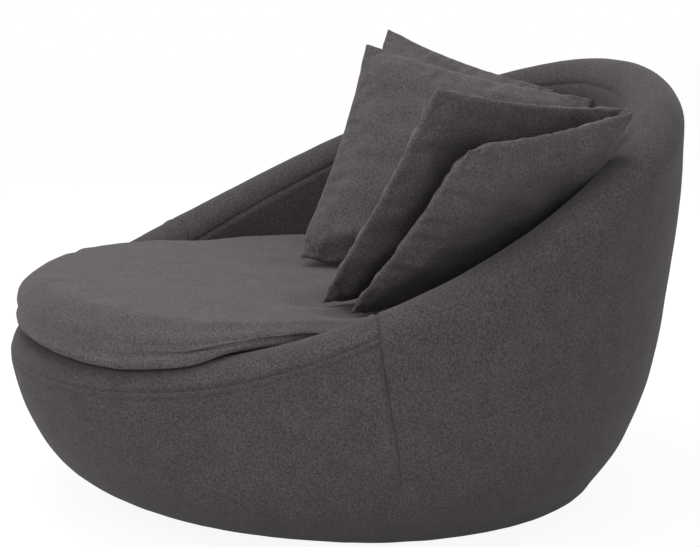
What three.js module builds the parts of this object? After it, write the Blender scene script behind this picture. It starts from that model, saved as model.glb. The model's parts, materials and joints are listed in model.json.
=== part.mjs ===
// A round cuddle chair: an egg-shaped upholstered bowl with a rolled rim that sweeps from a low
// front lip up to a high back, one big loose seat cushion and four loose square scatter cushions.
// Millimetres, +Z up, front towards -Y, +X on the sitter's left-hand side when seated.
// The origin is the middle of the footprint of the whole chair, on the floor.
import * as THREE from 'three';

// The bowl's outer form
const bowlRadius = 650;          // greatest radius, at the belly and above it
const footRadius = 431;          // radius where the form meets the floor
const bellyHeight = 400;         // height at which the form reaches its greatest radius
const bellyShares = { curve: 2.4, fullness: 0.69 };
const bellyShift = -25.1;         // the belly sits a little to the front
const backShift = 42;            // how much further back the upper wall sits
const backShiftFrom = 250;
const backShiftTo = 650;
const keelShift = 86;            // how far the foot sits behind the belly
const keelHeight = 120;
const keelShare = 2.8;
const lipHeight = 343;           // top of the rolled rim at the front
const backHeight = 839;          // top of the rolled rim at the back
const crestShare = 1.355;        // how late the rim climbs on its way to the back
const rollRadius = 55;           // radius of the rolled rim, half of the wall's thickness
const hemHeight = 3.5;           // the cover's turned-under hem above the floor
const hemWidth = 50;
const coverSeamAngle = 74;       // degrees from the front to the cover's upright seams
const frameSeamAngle = 100;      // degrees from the front to the joints of the layers below it

// Layers of the wall, from the outside inwards
const coverThickness = 2.5;
const paddingThickness = 12;
const skinThickness = 4;
const backFoamThickness = 35;
const layerGap = 0.5;
const layerTopGap = 1.2;         // below the rim, which climbs round the bowl
const fitGap = 0.3;

// Timber frame
const boardThickness = 18;
const baseInset = 6;             // the base board ends this far inside the foot
const baseUnderside = 8;
const ribThickness = 18;
const ribFirst = Math.PI / 9;    // radians from the front to the first rib
const ribClearance = 1.4;
const ribHeelInset = 30;
const ribCount = 9;
const ribFootReach = 135;        // how far a rib's foot reaches in from the edge of the base board
const ribLedgeWidth = 126;       // how far its ledge reaches in from the edge of the deck ring
const railHeight = 18;
const deckRingBottom = 290;
const deckRingGap = 7;           // room between the deck and the inner side of the wall
const deckRingWidth = 110;

// Deck
const strapWidth = 60;
const strapThickness = 2;
const strapsLong = 4;
const strapsCross = 4;
const strapLap = 45;             // how far a strap lies on the deck ring
const deckTop = 331;

// Floor side
const glideCount = 6;
const glideRadius = 18;
const glideInset = 80;           // from the edge of the base board to the middle of a glide
const glideChamfer = 2;
const dustGap = 3;               // between the dust cover and the hem
const dustThickness = 1.5;

// Seat cushion
const seatSetback = 11;          // its front edge stays this far behind the bowl's belly
const seatArcInset = 67;         // its round front has a smaller radius than the bowl
const seatWallGap = 14;
const seatSqueeze = 120;         // how much further it reaches over the rim than inside it
const seatSqueezeFrom = 36;      // degrees from the front where the rim starts to hold it in
const seatSqueezeTo = 72;
const seatFineFrom = 55;         // degrees from the front of the finer facets
const seatFineTo = 65;
const seatShoulder = 430;        // height of the rounded upper edge at the back
const seatFrontRise = 14;        // how much higher it is at the front, where it lies on the rim
const seatRiseShare = 2;         // how far to the front that rise keeps
const seatShoulderRise = 12;     // least height of the upper edge above the seam
const seatCrown = 10;            // extra height in the middle
const seatSeam = 374;            // least height of the side seam
const seatSeamShare = 0.28;      // where it lies between the rim below it and the upper edge
const seatSkirt = 320;           // how low the soft edge hangs in front of the rim
const seatDrape = 13;             // clearance over the curved rim
const seatBoxing = 5;            // half height of the flat band at the seam
const seatRoundShare = 1.84;     // how full the upper edge is
const seatUnderShare = 2.4;      // and the lower one
const seatRounding = 48;         // how far in the rounded upper edge begins
const seatUndercut = 70;         // how far inside the wall the lower edge has come down to the deck
const seatUpperShares = [1, 0.56, 0.23, 0.07, 0];
const seatLowerShares = [1, 0.6, 0.45, 0.29, 0.14, 0];
const seatMiddleShare = 0.55;
const seatCoverThickness = 3;
const seatCoreGap = 1;
const seatZipAngle = 35;         // degrees, half of the zip's arc at the back

// Scatter cushions
const scatterOverHalf = 150;     // a side is half of the bowl's radius and this much, so two fit abreast
const scatterDraw = 20;          // how far the middle of an edge is drawn in
const scatterEdge = 3;           // half thickness at the seam
const scatterSwellShare = 0.6;
const scatterCoverThickness = 1.5;
const scatterMargin = 9;         // seam allowance between outline and filling
const scatterPadGap = 1.5;
const scatterCells = 10;
const scatterPadCells = 6;
const scatterZipCells = 4;
const scatterZipShare = 0.92;    // part of the opening that the zip takes
const zipClearance = 0.4;
const zipDepth = 6;

// Where each scatter cushion stands: the place of its middle as shares of the bowl's radius, the
// direction of its width and its lean in degrees, its roll in its own plane, and how far each of
// its sides swells. Its soft corners are pulled out of square by shares of its side, in the order
// top left, top right, bottom left, bottom right.
const scatterPlump = 56;
const scatterSoft = 43;
const scatterPressed = 35;
const scatterRest = 0.4;         // clearance on the seat cushion
const scatterStances = [
  {
    placeShares: [-0.0480, 0.3798], yaw: 57.5, lean: 38, roll: -8.4, front: scatterPlump, back: scatterSoft,
    pullShares: [[-0.015, 0.032], [0.044, -0.046], [-0.017, -0.067], [-0.004, 0.046]],
  },
  {
    placeShares: [-0.4232, 0.4290], yaw: 37, lean: 38.9, roll: -15, front: scatterSoft, back: scatterSoft,
    pullShares: [[-0.004, 0.004], [0.011, -0.023], [0, 0], [-0.004, 0.015]],
  },
  {
    placeShares: [0.5570, 0.1589], yaw: 105.1, lean: -36.7, roll: -3.1,
    front: scatterPressed, back: scatterPlump,
    pullShares: [[-0.015, 0.019], [0.011, -0.051], [0.004, -0.008], [0.004, 0.038]],
  },
  {
    placeShares: [0.6880, 0.1612], yaw: 110.3, lean: -40.2, roll: 1.1,
    front: scatterSoft, back: scatterPressed,
    pullShares: [[0.021, -0.082], [-0.036, -0.038], [0.011, 0.061], [0, 0.036]],
  },
];

const columns = 36;              // facets round the bowl
const fabricColour = 0x4a4547;

const materials = {
  fabric: new THREE.MeshStandardMaterial({ color: fabricColour, roughness: 0.95, metalness: 0 }),
  foam: new THREE.MeshStandardMaterial({ color: 0xd8cfae, roughness: 0.9, metalness: 0 }),
  fibre: new THREE.MeshStandardMaterial({ color: 0xe6e4de, roughness: 0.95, metalness: 0 }),
  plywood: new THREE.MeshStandardMaterial({ color: 0xc49a66, roughness: 0.7, metalness: 0 }),
  webbing: new THREE.MeshStandardMaterial({ color: 0x2b2b2e, roughness: 0.85, metalness: 0 }),
  glide: new THREE.MeshStandardMaterial({ color: 0x1d1d1f, roughness: 0.5, metalness: 0 }),
  lining: new THREE.MeshStandardMaterial({ color: 0x232224, roughness: 0.95, metalness: 0 }),
  zip: new THREE.MeshStandardMaterial({ color: 0x2e2b2c, roughness: 0.6, metalness: 0 }),
};

const radians = THREE.MathUtils.degToRad;
const clampShare = (value) => Math.min(1, Math.max(0, value));
const smoothShare = (value) => {
  const t = clampShare(value);
  return t * t * (3 - 2 * t);
};

// The bowl's outer form: a circle at each height, whose centre wanders along Y.
function ringRadius(z) {
  const climb = clampShare(z / bellyHeight);
  const share = Math.pow(1 - Math.pow(1 - climb, bellyShares.curve), bellyShares.fullness);
  return footRadius + (bowlRadius - footRadius) * share;
}

function ringCentre(z) {
  const upper = backShift * smoothShare((z - backShiftFrom) / (backShiftTo - backShiftFrom));
  const keel = keelShift * Math.pow(clampShare(1 - z / keelHeight), keelShare);
  return bellyShift + upper + keel;
}

// Distance from the Z axis to the outer form, in the direction of angle from the front.
function outerReach(angle, z) {
  const centre = ringCentre(z);
  const across = centre * Math.sin(angle);
  return Math.sqrt(ringRadius(z) ** 2 - across ** 2) - centre * Math.cos(angle);
}

function crestHeight(angle) {
  const share = Math.pow((1 - Math.cos(angle)) / 2, crestShare);
  return lipHeight + (backHeight - lipHeight) * share;
}

const rollBase = (angle) => crestHeight(angle) - rollRadius;
const rollCentreReach = (angle) => outerReach(angle, rollBase(angle)) - rollRadius;
const wallThickness = 2 * rollRadius;

// What follows from the bowl's form: the base, the deck, the seat cushion's front and the side of
// a scatter cushion.
const baseRadius = footRadius - baseInset;
const ribFootRadius = baseRadius - ribFootReach;
const glideCircle = baseRadius - glideInset;
const dustRadius = footRadius - hemWidth - dustGap;
const deckRingRadius = ringRadius(deckRingBottom) - wallThickness - deckRingGap;
const ribLedgeRadius = deckRingRadius - ribLedgeWidth;
const seatFront = bowlRadius - bellyShift - seatSetback;
const seatArc = bowlRadius - seatArcInset;
const scatterSide = bowlRadius / 2 + scatterOverHalf;

function place(angle, reach, z) {
  return [reach * Math.sin(angle), -reach * Math.cos(angle), z];
}

// A point on the outer side of the wall: share 0 at the hem, 1 where the roll starts,
// moved inwards by depth, square to the form.
const levelShare = 1.5;
const slopeStep = 0.5;
function outerPoint(angle, share, depth) {
  const top = rollBase(angle);
  const z = hemHeight + (top - hemHeight) * Math.pow(share, levelShare);
  const rise = (outerReach(angle, z + slopeStep) - outerReach(angle, z - slopeStep)) / (2 * slopeStep);
  const lean = share < 1 ? rise : 0;
  const length = Math.hypot(1, lean);
  return place(angle, outerReach(angle, z) - depth / length, z + (depth * lean) / length);
}

// A point on the rolled rim: turn 0 on the outer side, half a turn on the inner side.
function rollPoint(angle, turn, depth) {
  const radius = rollRadius - depth;
  const reach = rollCentreReach(angle) + radius * Math.cos(turn);
  return place(angle, reach, rollBase(angle) + radius * Math.sin(turn));
}

// A point on the inner side of the wall at height z, moved outwards into the wall by depth.
function innerPoint(angle, z, depth) {
  return place(angle, outerReach(angle, z) - wallThickness + depth, z);
}

// Solids from points and faces
function geometryFrom(points, faces) {
  const geometry = new THREE.BufferGeometry();
  geometry.setAttribute('position', new THREE.Float32BufferAttribute(points.flat(), 3));
  const triangles = faces.flatMap((face) => {
    const fan = [];
    for (let k = 1; k < face.length - 1; k += 1) fan.push(face[0], face[k], face[k + 1]);
    return fan;
  });
  geometry.setIndex(triangles);
  geometry.computeVertexNormals();
  return geometry;
}

// A skin: faces on the outer points, the same faces turned round on the inner points,
// and walls along every edge that has no neighbour.
function thickSkin(outer, inner, faces) {
  const seen = new Set();
  faces.forEach((face) => {
    face.forEach((vertex, k) => seen.add(`${vertex}_${face[(k + 1) % face.length]}`));
  });
  const count = outer.length;
  const all = faces.map((face) => [...face]);
  faces.forEach((face) => {
    const [corner, ...others] = face.map((vertex) => vertex + count);
    all.push([corner, ...others.reverse()]);
    face.forEach((from, k) => {
      const to = face[(k + 1) % face.length];
      if (!seen.has(`${to}_${from}`)) all.push([to, from, from + count, to + count]);
    });
  });
  return geometryFrom([...outer, ...inner], all);
}

// Quads of a grid whose first index runs round the chair and second up the wall.
function gridFaces(across, up, closed) {
  const faces = [];
  const last = closed ? across : across - 1;
  for (let i = 0; i < last; i += 1) {
    const next = (i + 1) % across;
    for (let j = 0; j < up - 1; j += 1) {
      faces.push([i * up + j, next * up + j, next * up + j + 1, i * up + j + 1]);
    }
  }
  return faces;
}

// Every layer of the bowl has its facets at the same angles, in degrees from the front, with
// columns at the cover's seams as well, so that one layer lies evenly on the next.
const evenAngles = Array.from({ length: 2 * columns }, (_, k) => (k * 360) / columns - 180);
const columnAngles = [...evenAngles, -coverSeamAngle, coverSeamAngle, 360 - coverSeamAngle]
  .sort((a, b) => a - b)
  .filter((angle, k, all) => k === 0 || angle > all[k - 1]);

// The angles of those columns between two angles, with the ends drawn back for a seam.
function anglesBetween(fromDegrees, toDegrees, gap) {
  const trim = THREE.MathUtils.radToDeg(gap / (2 * bowlRadius));
  const between = columnAngles.filter((angle) => angle > fromDegrees && angle < toDegrees);
  return [fromDegrees + trim, ...between, toDegrees - trim].map(radians);
}

const coverFrontAngles = anglesBetween(-coverSeamAngle, coverSeamAngle, fitGap * 2);
const coverBackAngles = anglesBetween(coverSeamAngle, 360 - coverSeamAngle, fitGap * 2);
const frontAngles = anglesBetween(-frameSeamAngle, frameSeamAngle, fitGap * 2);
const backAngles = anglesBetween(frameSeamAngle, 360 - frameSeamAngle, fitGap * 2);
const innerWallAngle = 50;       // degrees from the front where the inner wall rises from the deck
const innerAngles = anglesBetween(innerWallAngle, 360 - innerWallAngle, 0);

const chair = new THREE.Group();
function add(name, geometry, material, group = chair) {
  const mesh = new THREE.Mesh(geometry, material);
  mesh.name = name;
  group.add(mesh);
  return mesh;
}

// A panel between two depths, given the function that places its points.
function panel(name, angles, levels, pointAt, depths, material) {
  const outer = angles.flatMap((angle) => levels.map((level) => pointAt(angle, level, depths[0])));
  const inner = angles.flatMap((angle) => levels.map((level) => pointAt(angle, level, depths[1])));
  add(name, thickSkin(outer, inner, gridFaces(angles.length, levels.length, false)), material);
}

const outerLevelShares = [0, 0.13, 0.27, 0.43, 0.61, 0.8, 1];
const layerLevelShares = outerLevelShares.slice(1);
const rollFacets = 6;
const halfTurns = (count) => Array.from({ length: count + 1 }, (_, k) => (Math.PI * k) / count);

// Outer side: cover with its hem, padding and bent plywood skin, each in a front and a back part.
// The front cover ends at the seam below the rim, which has a cover of its own there; the back
// cover runs on over the rim in one piece.
const shareLevels = outerLevelShares.map((share) => ({ share }));
const rollLevels = halfTurns(rollFacets).map((turn) => ({ turn }));
const frontLevels = [{ hem: true }, ...shareLevels.slice(0, -1), { share: 1, drop: fitGap }];
const backLevels = [{ hem: true }, ...shareLevels, ...rollLevels.slice(1)];
function coverPoint(angle, level, depth) {
  if (level.hem) return place(angle, outerReach(angle, hemHeight) - hemWidth, hemHeight + depth);
  if ('turn' in level) return rollPoint(angle, level.turn, depth);
  const point = outerPoint(angle, level.share, depth);
  point[2] -= level.drop ?? 0;
  return point;
}

function layerPoint(angle, share, depth) {
  const point = outerPoint(angle, share, depth);
  if (share === 1) point[2] -= layerTopGap;
  return point;
}

const paddingDepths = [coverThickness + layerGap, coverThickness + layerGap + paddingThickness];
const skinDepths = [paddingDepths[1] + layerGap, paddingDepths[1] + layerGap + skinThickness];
const coverDepths = [0, coverThickness];
panel('outer_cover_front', coverFrontAngles, frontLevels, coverPoint, coverDepths, materials.fabric);
panel('outer_cover_back', coverBackAngles, backLevels, coverPoint, coverDepths, materials.fabric);
panel('rim_cover', coverFrontAngles, rollLevels, coverPoint, coverDepths, materials.fabric);
[['front', frontAngles], ['back', backAngles]].forEach(([side, angles]) => {
  panel(`outer_padding_${side}`, angles, layerLevelShares, layerPoint, paddingDepths, materials.fibre);
  panel(`outer_skin_${side}`, angles, layerLevelShares, layerPoint, skinDepths, materials.plywood);
});

// A ring whose section is worked out at each angle, closed at both ends. Faces that look down are
// split the same way as the ones below them that look up.
function sectionSweep(name, angles, sectionAt, material) {
  const sections = angles.map((angle) => sectionAt(angle));
  const size = sections[0].length;
  const faces = [];
  const reachOf = ([x, y]) => Math.hypot(x, y);
  for (let i = 0; i < sections.length - 1; i += 1) {
    for (let j = 0; j < size; j += 1) {
      const next = (j + 1) % size;
      const face = [i * size + j, (i + 1) * size + j, (i + 1) * size + next, i * size + next];
      const outwards = reachOf(sections[i][next]) > reachOf(sections[i][j]) + layerGap;
      if (outwards) face.push(face.shift());
      faces.push(face);
    }
  }
  const points = sections.flat();
  const triangles = capTriangles(angles[0], sections[0]);
  const end = (sections.length - 1) * size;
  triangles.forEach(([a, b, c]) => {
    faces.push([a, b, c]);
    faces.push([end + c, end + b, end + a]);
  });
  add(name, geometryFrom(points, faces), material);
}

// Triangles that close the first end of a sweep, wound like the section itself.
function capTriangles(angle, section) {
  const flat = section.map(([x, y, z]) => new THREE.Vector2(x * Math.sin(angle) - y * Math.cos(angle), z));
  const triangles = THREE.ShapeUtils.triangulateShape(flat, []);
  const upright = THREE.ShapeUtils.area(flat) > 0;
  return triangles.map(([a, b, c]) => {
    const turned = (flat[b].x - flat[a].x) * (flat[c].y - flat[a].y)
      - (flat[b].y - flat[a].y) * (flat[c].x - flat[a].x);
    return (turned > 0) === upright ? [a, b, c] : [c, b, a];
  });
}

// Rim: a laminated rail on top of the ribs and a foam roll that straddles it.
const railWidth = wallThickness - skinDepths[1] - backFoamThickness - skinThickness
  - coverThickness - 4 * layerGap;
const railOuterInset = skinDepths[1] + layerGap;
function railSection(angle, clearance) {
  const outer = outerReach(angle, rollBase(angle)) - railOuterInset + clearance;
  const inner = outer - railWidth - 2 * clearance;
  const bottom = rollBase(angle);
  const top = bottom + railHeight + clearance;
  return { outer, inner, bottom, top };
}

function railLoop(angle) {
  const { outer, inner, bottom, top } = railSection(angle, 0);
  return [place(angle, outer, bottom), place(angle, outer, top), place(angle, inner, top),
    place(angle, inner, bottom)];
}

function rimFoamLoop(angle) {
  const depth = coverThickness + layerGap;
  const arc = halfTurns(rollFacets).map((turn) => rollPoint(angle, turn, depth));
  const { outer, inner, bottom, top } = railSection(angle, layerGap);
  return [...arc, place(angle, inner, bottom), place(angle, inner, top), place(angle, outer, top),
    place(angle, outer, bottom)];
}

[['front', frontAngles], ['back', backAngles]].forEach(([side, angles]) => {
  sectionSweep(`rim_foam_${side}`, angles, rimFoamLoop, materials.foam);
  sectionSweep(`rim_rail_${side}`, angles, railLoop, materials.plywood);
});

// Inner side of the wall: cover, thick back foam and an inner plywood panel.
const innerFoot = deckTop - boardThickness;
function innerLayerPoint(angle, level, depth) {
  const top = rollBase(angle) - layerTopGap;
  return innerPoint(angle, innerFoot + (top - innerFoot) * level, depth);
}

const backFoamDepths = [coverThickness + layerGap, coverThickness + layerGap + backFoamThickness];
const innerPanelDepths = [backFoamDepths[1] + layerGap, backFoamDepths[1] + layerGap + skinThickness];
const innerLevelShares = [0, 0.33, 0.67, 1];
function innerPanel(name, depths, material) {
  const angles = [...innerAngles].reverse();
  panel(name, angles, innerLevelShares, innerLayerPoint, depths, material);
}
innerPanel('inner_back_cover', coverDepths, materials.fabric);
innerPanel('back_foam', backFoamDepths, materials.foam);
innerPanel('inner_back_panel', innerPanelDepths, materials.plywood);

// Ribs: upright plates in radial planes, from the base board to the rail, with a ledge for the deck.
const ribOuterDepth = skinDepths[1] + ribClearance;
const ribInnerDepth = innerPanelDepths[1] + ribClearance;
const baseTop = baseUnderside + boardThickness;
const ribBottom = baseTop + fitGap;
const ribLevelShares = outerLevelShares.slice(2);
function ribOutline(angle) {
  const flat = ([x, y, z]) => new THREE.Vector2(x * Math.sin(angle) - y * Math.cos(angle), z);
  const top = rollBase(angle) - layerTopGap;
  const ledge = Math.min(deckRingBottom - fitGap, top - fitGap);
  const outer = ribLevelShares.map((level) => flat(outerPoint(angle, level, ribOuterDepth)));
  outer[outer.length - 1].y = top;
  const inner = [];
  if (top > deckTop) {
    [...innerLevelShares].reverse().forEach((level) => {
      inner.push(flat(innerLayerPoint(angle, level, ribInnerDepth)));
    });
  } else {
    inner.push(flat(innerPoint(angle, top, ribInnerDepth)));
  }
  const shelf = inner[inner.length - 1].x;
  const heel = Math.min(outerReach(angle, hemHeight), outer[0].x) - ribHeelInset;
  return [
    ...outer,
    ...inner,
    new THREE.Vector2(shelf, ledge),
    new THREE.Vector2(ribLedgeRadius, ledge),
    new THREE.Vector2(ribFootRadius, baseTop + boardThickness),
    new THREE.Vector2(ribFootRadius, ribBottom),
    new THREE.Vector2(heel, ribBottom),
  ];
}

// The top of a rib is bevelled to the climb of the rail.
const climbStep = 0.01;
function railClimb(angle) {
  const rise = rollBase(angle + climbStep) - rollBase(angle - climbStep);
  return rise / (2 * climbStep * rollCentreReach(angle));
}

function addRib(index) {
  const angle = ribFirst + (index * 2 * Math.PI) / ribCount;
  const plate = new THREE.ExtrudeGeometry(new THREE.Shape(ribOutline(angle)), {
    depth: ribThickness,
    bevelEnabled: false,
  });
  plate.translate(0, 0, -ribThickness / 2);
  const top = rollBase(angle) - layerTopGap;
  const corners = plate.getAttribute('position');
  for (let k = 0; k < corners.count; k += 1) {
    const height = corners.getY(k);
    if (Math.abs(height - top) < fitGap / 2) corners.setY(k, height - railClimb(angle) * corners.getZ(k));
  }
  plate.computeVertexNormals();
  const mesh = add(`rib_${index + 1}`, plate, materials.plywood);
  const outward = new THREE.Vector3(Math.sin(angle), -Math.cos(angle), 0);
  const up = new THREE.Vector3(0, 0, 1);
  const sideways = new THREE.Vector3().crossVectors(outward, up);
  mesh.quaternion.setFromRotationMatrix(new THREE.Matrix4().makeBasis(outward, up, sideways));
}
for (let index = 0; index < ribCount; index += 1) addRib(index);

// Flat round boards
function disc(radius, holes = []) {
  const shape = new THREE.Shape();
  shape.absarc(0, 0, radius, 0, 2 * Math.PI, false);
  holes.forEach(([x, y, holeRadius]) => {
    const hole = new THREE.Path();
    hole.absarc(x, y, holeRadius, 0, 2 * Math.PI, true);
    shape.holes.push(hole);
  });
  return shape;
}

const boardSegments = 18;
function addDisc(name, shape, bottom, thickness, centreY, material, segments = boardSegments) {
  const geometry = new THREE.ExtrudeGeometry(shape, {
    depth: thickness,
    bevelEnabled: false,
    curveSegments: segments,
  });
  const mesh = add(name, geometry, material);
  mesh.position.set(0, centreY, bottom);
}

const footCentre = bellyShift + keelShift;
addDisc('base_board', disc(baseRadius), baseUnderside, boardThickness, footCentre, materials.plywood);

// Glides under the base board, and the dust cover with a hole for each.
const glidePlaces = Array.from({ length: glideCount }, (_, k) => {
  const angle = (k * 2 * Math.PI) / glideCount;
  return [glideCircle * Math.sin(angle), glideCircle * Math.cos(angle)];
});
const glideSides = 12;
glidePlaces.forEach(([x, y], k) => {
  const top = baseUnderside - fitGap;
  const profile = [
    new THREE.Vector2(0, 0),
    new THREE.Vector2(glideRadius - glideChamfer, 0),
    new THREE.Vector2(glideRadius, glideChamfer),
    new THREE.Vector2(glideRadius, top),
    new THREE.Vector2(0, top),
  ];
  const puck = new THREE.LatheGeometry(profile, glideSides);
  puck.rotateX(Math.PI / 2);
  const mesh = add(`glide_${k + 1}`, puck, materials.glide);
  mesh.position.set(x, footCentre + y, 0);
});

const dustHoleRadius = glideRadius + glideChamfer;
const dustHoles = glidePlaces.map(([x, y]) => [x, y, dustHoleRadius]);
const dustSegments = 8;
addDisc('dust_cover', disc(dustRadius, dustHoles), baseUnderside - fitGap - dustThickness,
  dustThickness, footCentre, materials.lining, dustSegments);

// Deck: ring, interlaced elastic straps, pad and cover.
const deckRingTop = deckRingBottom + boardThickness;
const deckCentre = ringCentre(deckRingBottom);
const deckRingInner = deckRingRadius - deckRingWidth;
addDisc('deck_ring', disc(deckRingRadius, [[0, 0, deckRingInner]]), deckRingBottom, boardThickness,
  deckCentre, materials.plywood);

const strapLayer = strapThickness + fitGap;
const strapBed = deckRingTop + fitGap;
const longPitch = (2 * deckRingInner) / (strapsLong + 1);
const crossPitch = (2 * deckRingInner) / (strapsCross + 1);
const strapReach = (offset) => Math.sqrt(deckRingInner ** 2 - offset ** 2) + strapLap;

const strapStep = 2 * strapThickness;

// A strap seen from the side: a line of [distance, level] with the thickness on top of it.
function strapGeometry(line) {
  const lower = line.map(([along, level]) => new THREE.Vector2(along, strapBed + level));
  const upper = line.map(([along, level]) => new THREE.Vector2(along, strapBed + level + strapThickness));
  const strap = new THREE.ExtrudeGeometry(new THREE.Shape([...lower, ...upper.reverse()]), {
    depth: strapWidth,
    bevelEnabled: false,
  });
  strap.translate(0, 0, -strapWidth / 2);
  return strap.rotateX(Math.PI / 2);
}

// The lengthwise straps lie on the ring at both ends and run level between them.
for (let k = 0; k < strapsLong; k += 1) {
  const x = (k + 1) * longPitch - deckRingInner;
  const end = strapReach(Math.abs(x) + strapWidth / 2);
  const bend = end - strapLap;
  const strap = strapGeometry([
    [-end, 0], [-bend, 0], [-bend + strapStep, strapLayer],
    [bend - strapStep, strapLayer], [bend, 0], [end, 0],
  ]);
  const mesh = add(`deck_strap_long_${k + 1}`, strap.rotateZ(Math.PI / 2), materials.webbing);
  mesh.position.set(x, deckCentre, 0);
}

// A cross strap passes over one lengthwise strap and under the next; its ends lie on the ring.
for (let k = 0; k < strapsCross; k += 1) {
  const offset = (k + 1) * crossPitch - deckRingInner;
  const end = strapReach(Math.abs(offset) + strapWidth / 2);
  const line = [[-end, 0]];
  for (let i = 0; i < strapsLong; i += 1) {
    const x = (i + 1) * longPitch - deckRingInner;
    const half = strapWidth / 2 + strapStep;
    const level = (i + k) % 2 === 0 ? 2 * strapLayer : 0;
    line.push([x - half, level], [x + half, level]);
  }
  line.push([end, 0]);
  const mesh = add(`deck_strap_cross_${k + 1}`, strapGeometry(line), materials.webbing);
  mesh.position.set(0, deckCentre + offset, 0);
}

const strapStackTop = strapBed + 2 * strapLayer + strapThickness;
const deckCoverBottom = deckTop - coverThickness;
const deckPadBottom = strapStackTop + fitGap;
addDisc('deck_pad', disc(deckRingRadius), deckPadBottom, deckCoverBottom - fitGap - deckPadBottom,
  deckCentre, materials.fibre);
addDisc('deck_cover', disc(deckRingRadius), deckCoverBottom, coverThickness, deckCentre, materials.fabric);

// Seat cushion. Its plan is round at the front, where it lies over the rim, and follows the
// inner wall from there to the back.
function wallLimit(angle) {
  const narrowest = Math.min(outerReach(angle, deckTop), outerReach(angle, seatShoulder));
  return narrowest - wallThickness - seatWallGap;
}

const turnFromFront = (angle) => Math.acos(Math.cos(angle));

function seatReach(angle) {
  const turn = turnFromFront(angle);
  if (turn > Math.PI / 2) return wallLimit(angle);
  const centre = seatFront - seatArc;
  const round = centre * Math.cos(turn) + Math.sqrt(seatArc ** 2 - (centre * Math.sin(turn)) ** 2);
  const from = radians(seatSqueezeFrom);
  const held = smoothShare((turn - from) / (radians(seatSqueezeTo) - from));
  return Math.min(round, wallLimit(angle) + seatSqueeze * (1 - held));
}

// Height of what lies under the cushion: the deck, then the rolled rim, then nothing.
function supportHeight(angle, reach) {
  const across = reach - rollCentreReach(angle);
  const radius = rollRadius + seatDrape;
  const low = across < 0 ? deckTop : 0;
  if (Math.abs(across) >= radius) return low;
  return Math.max(low, rollBase(angle) + Math.sqrt(radius ** 2 - across ** 2));
}

// Height of the upper side: a crown in the middle, and a rise where the front lies on the rim.
function seatTopHeight(angle, reach) {
  const out = (reach / seatReach(angle)) ** 2;
  const front = Math.pow((1 + Math.cos(angle)) / 2, seatRiseShare);
  return seatShoulder + seatFrontRise * front * out + seatCrown * (1 - out);
}

function seatSeamHeight(angle) {
  const edge = seatReach(angle);
  const support = supportHeight(angle, edge);
  return Math.max(seatSeam, support + (seatTopHeight(angle, edge) - support) * seatSeamShare);
}

// One radial section of the cushion, from the middle of the top round the seam to the middle of
// the underside, moved inwards by skin.
function seatSection(angle, skin) {
  const edge = seatReach(angle);
  const seam = seatSeamHeight(angle);
  const hang = turnFromFront(angle) > Math.PI / 2 ? deckTop : seatSkirt;
  const band = seatBoxing - skin / 2;
  const undercut = edge - wallLimit(angle) + seatUndercut;
  const ring = (share, width, fullness) => {
    const curve = Math.pow(1 - Math.pow(1 - share, fullness), 1 / fullness);
    const reach = edge - share * width - 2 * skin * (1 - share) ** 2;
    return { curve, reach, thick: skin * curve };
  };
  const upper = (share) => {
    const { curve, reach, thick } = ring(share, seatRounding, seatRoundShare);
    const top = Math.max(seatTopHeight(angle, reach), seam + seatShoulderRise);
    return place(angle, reach, seam + band + (top - seam - band) * curve - thick);
  };
  const lower = (share) => {
    const { curve, reach, thick } = ring(share, undercut, seatUnderShare);
    const soft = seam - band - (seam - band - hang) * curve;
    const rest = supportHeight(angle, edge - share * undercut) + fitGap;
    return place(angle, reach, Math.min(Math.max(soft, rest), seam - band) + thick);
  };
  const middle = edge * seatMiddleShare;
  return [
    place(angle, middle, seatTopHeight(angle, middle) - skin),
    ...seatUpperShares.map(upper),
    ...[...seatLowerShares].reverse().map(lower),
    place(angle, middle, deckTop + fitGap + skin),
  ];
}

// Its facets are finer where it slips off the rim and in behind the wall.
const fineDegrees = [seatFineFrom, seatFineTo];
const turnDegrees = [
  ...Array.from({ length: columns }, (_, k) => (k * 360) / columns),
  ...fineDegrees,
  ...fineDegrees.map((angle) => 360 - angle),
].sort((a, b) => a - b).filter((angle, k, all) => k === 0 || angle > all[k - 1]);
const turnAngles = turnDegrees.map(radians);

function seatPoints(skin) {
  const points = turnAngles.flatMap((angle) => seatSection(angle, skin));
  points.push([0, 0, seatShoulder + seatCrown - skin], [0, 0, deckTop + fitGap + skin]);
  return points;
}

// Faces of the cushion; the band at the seam is left out where isOpen says so.
const seatRows = seatUpperShares.length + seatLowerShares.length + 2;
function seatFaces(isOpen) {
  const seamRow = seatUpperShares.length;
  const turns = turnAngles.length;
  const topPoint = turns * seatRows;
  const faces = [];
  for (let i = 0; i < turns; i += 1) {
    const here = i * seatRows;
    const next = ((i + 1) % turns) * seatRows;
    for (let j = 0; j < seatRows - 1; j += 1) {
      if (j !== seamRow || !isOpen(i)) faces.push([here + j, here + j + 1, next + j + 1, next + j]);
    }
    faces.push([topPoint, here, next]);
    faces.push([topPoint + 1, next + seatRows - 1, here + seatRows - 1]);
  }
  return faces;
}

const zipHalfColumns = Math.round((seatZipAngle * columns) / 360);
const seatZipOpen = (i) => {
  const middle = (turnDegrees[i] + (turnDegrees[i + 1] ?? 360)) / 2;
  return Math.abs(middle - 180) < (zipHalfColumns * 360) / columns;
};
add('seat_cushion_cover', thickSkin(seatPoints(0), seatPoints(seatCoverThickness), seatFaces(seatZipOpen)),
  materials.fabric);
add('seat_cushion_core', geometryFrom(seatPoints(seatCoverThickness + seatCoreGap), seatFaces(() => false)),
  materials.foam);

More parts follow.
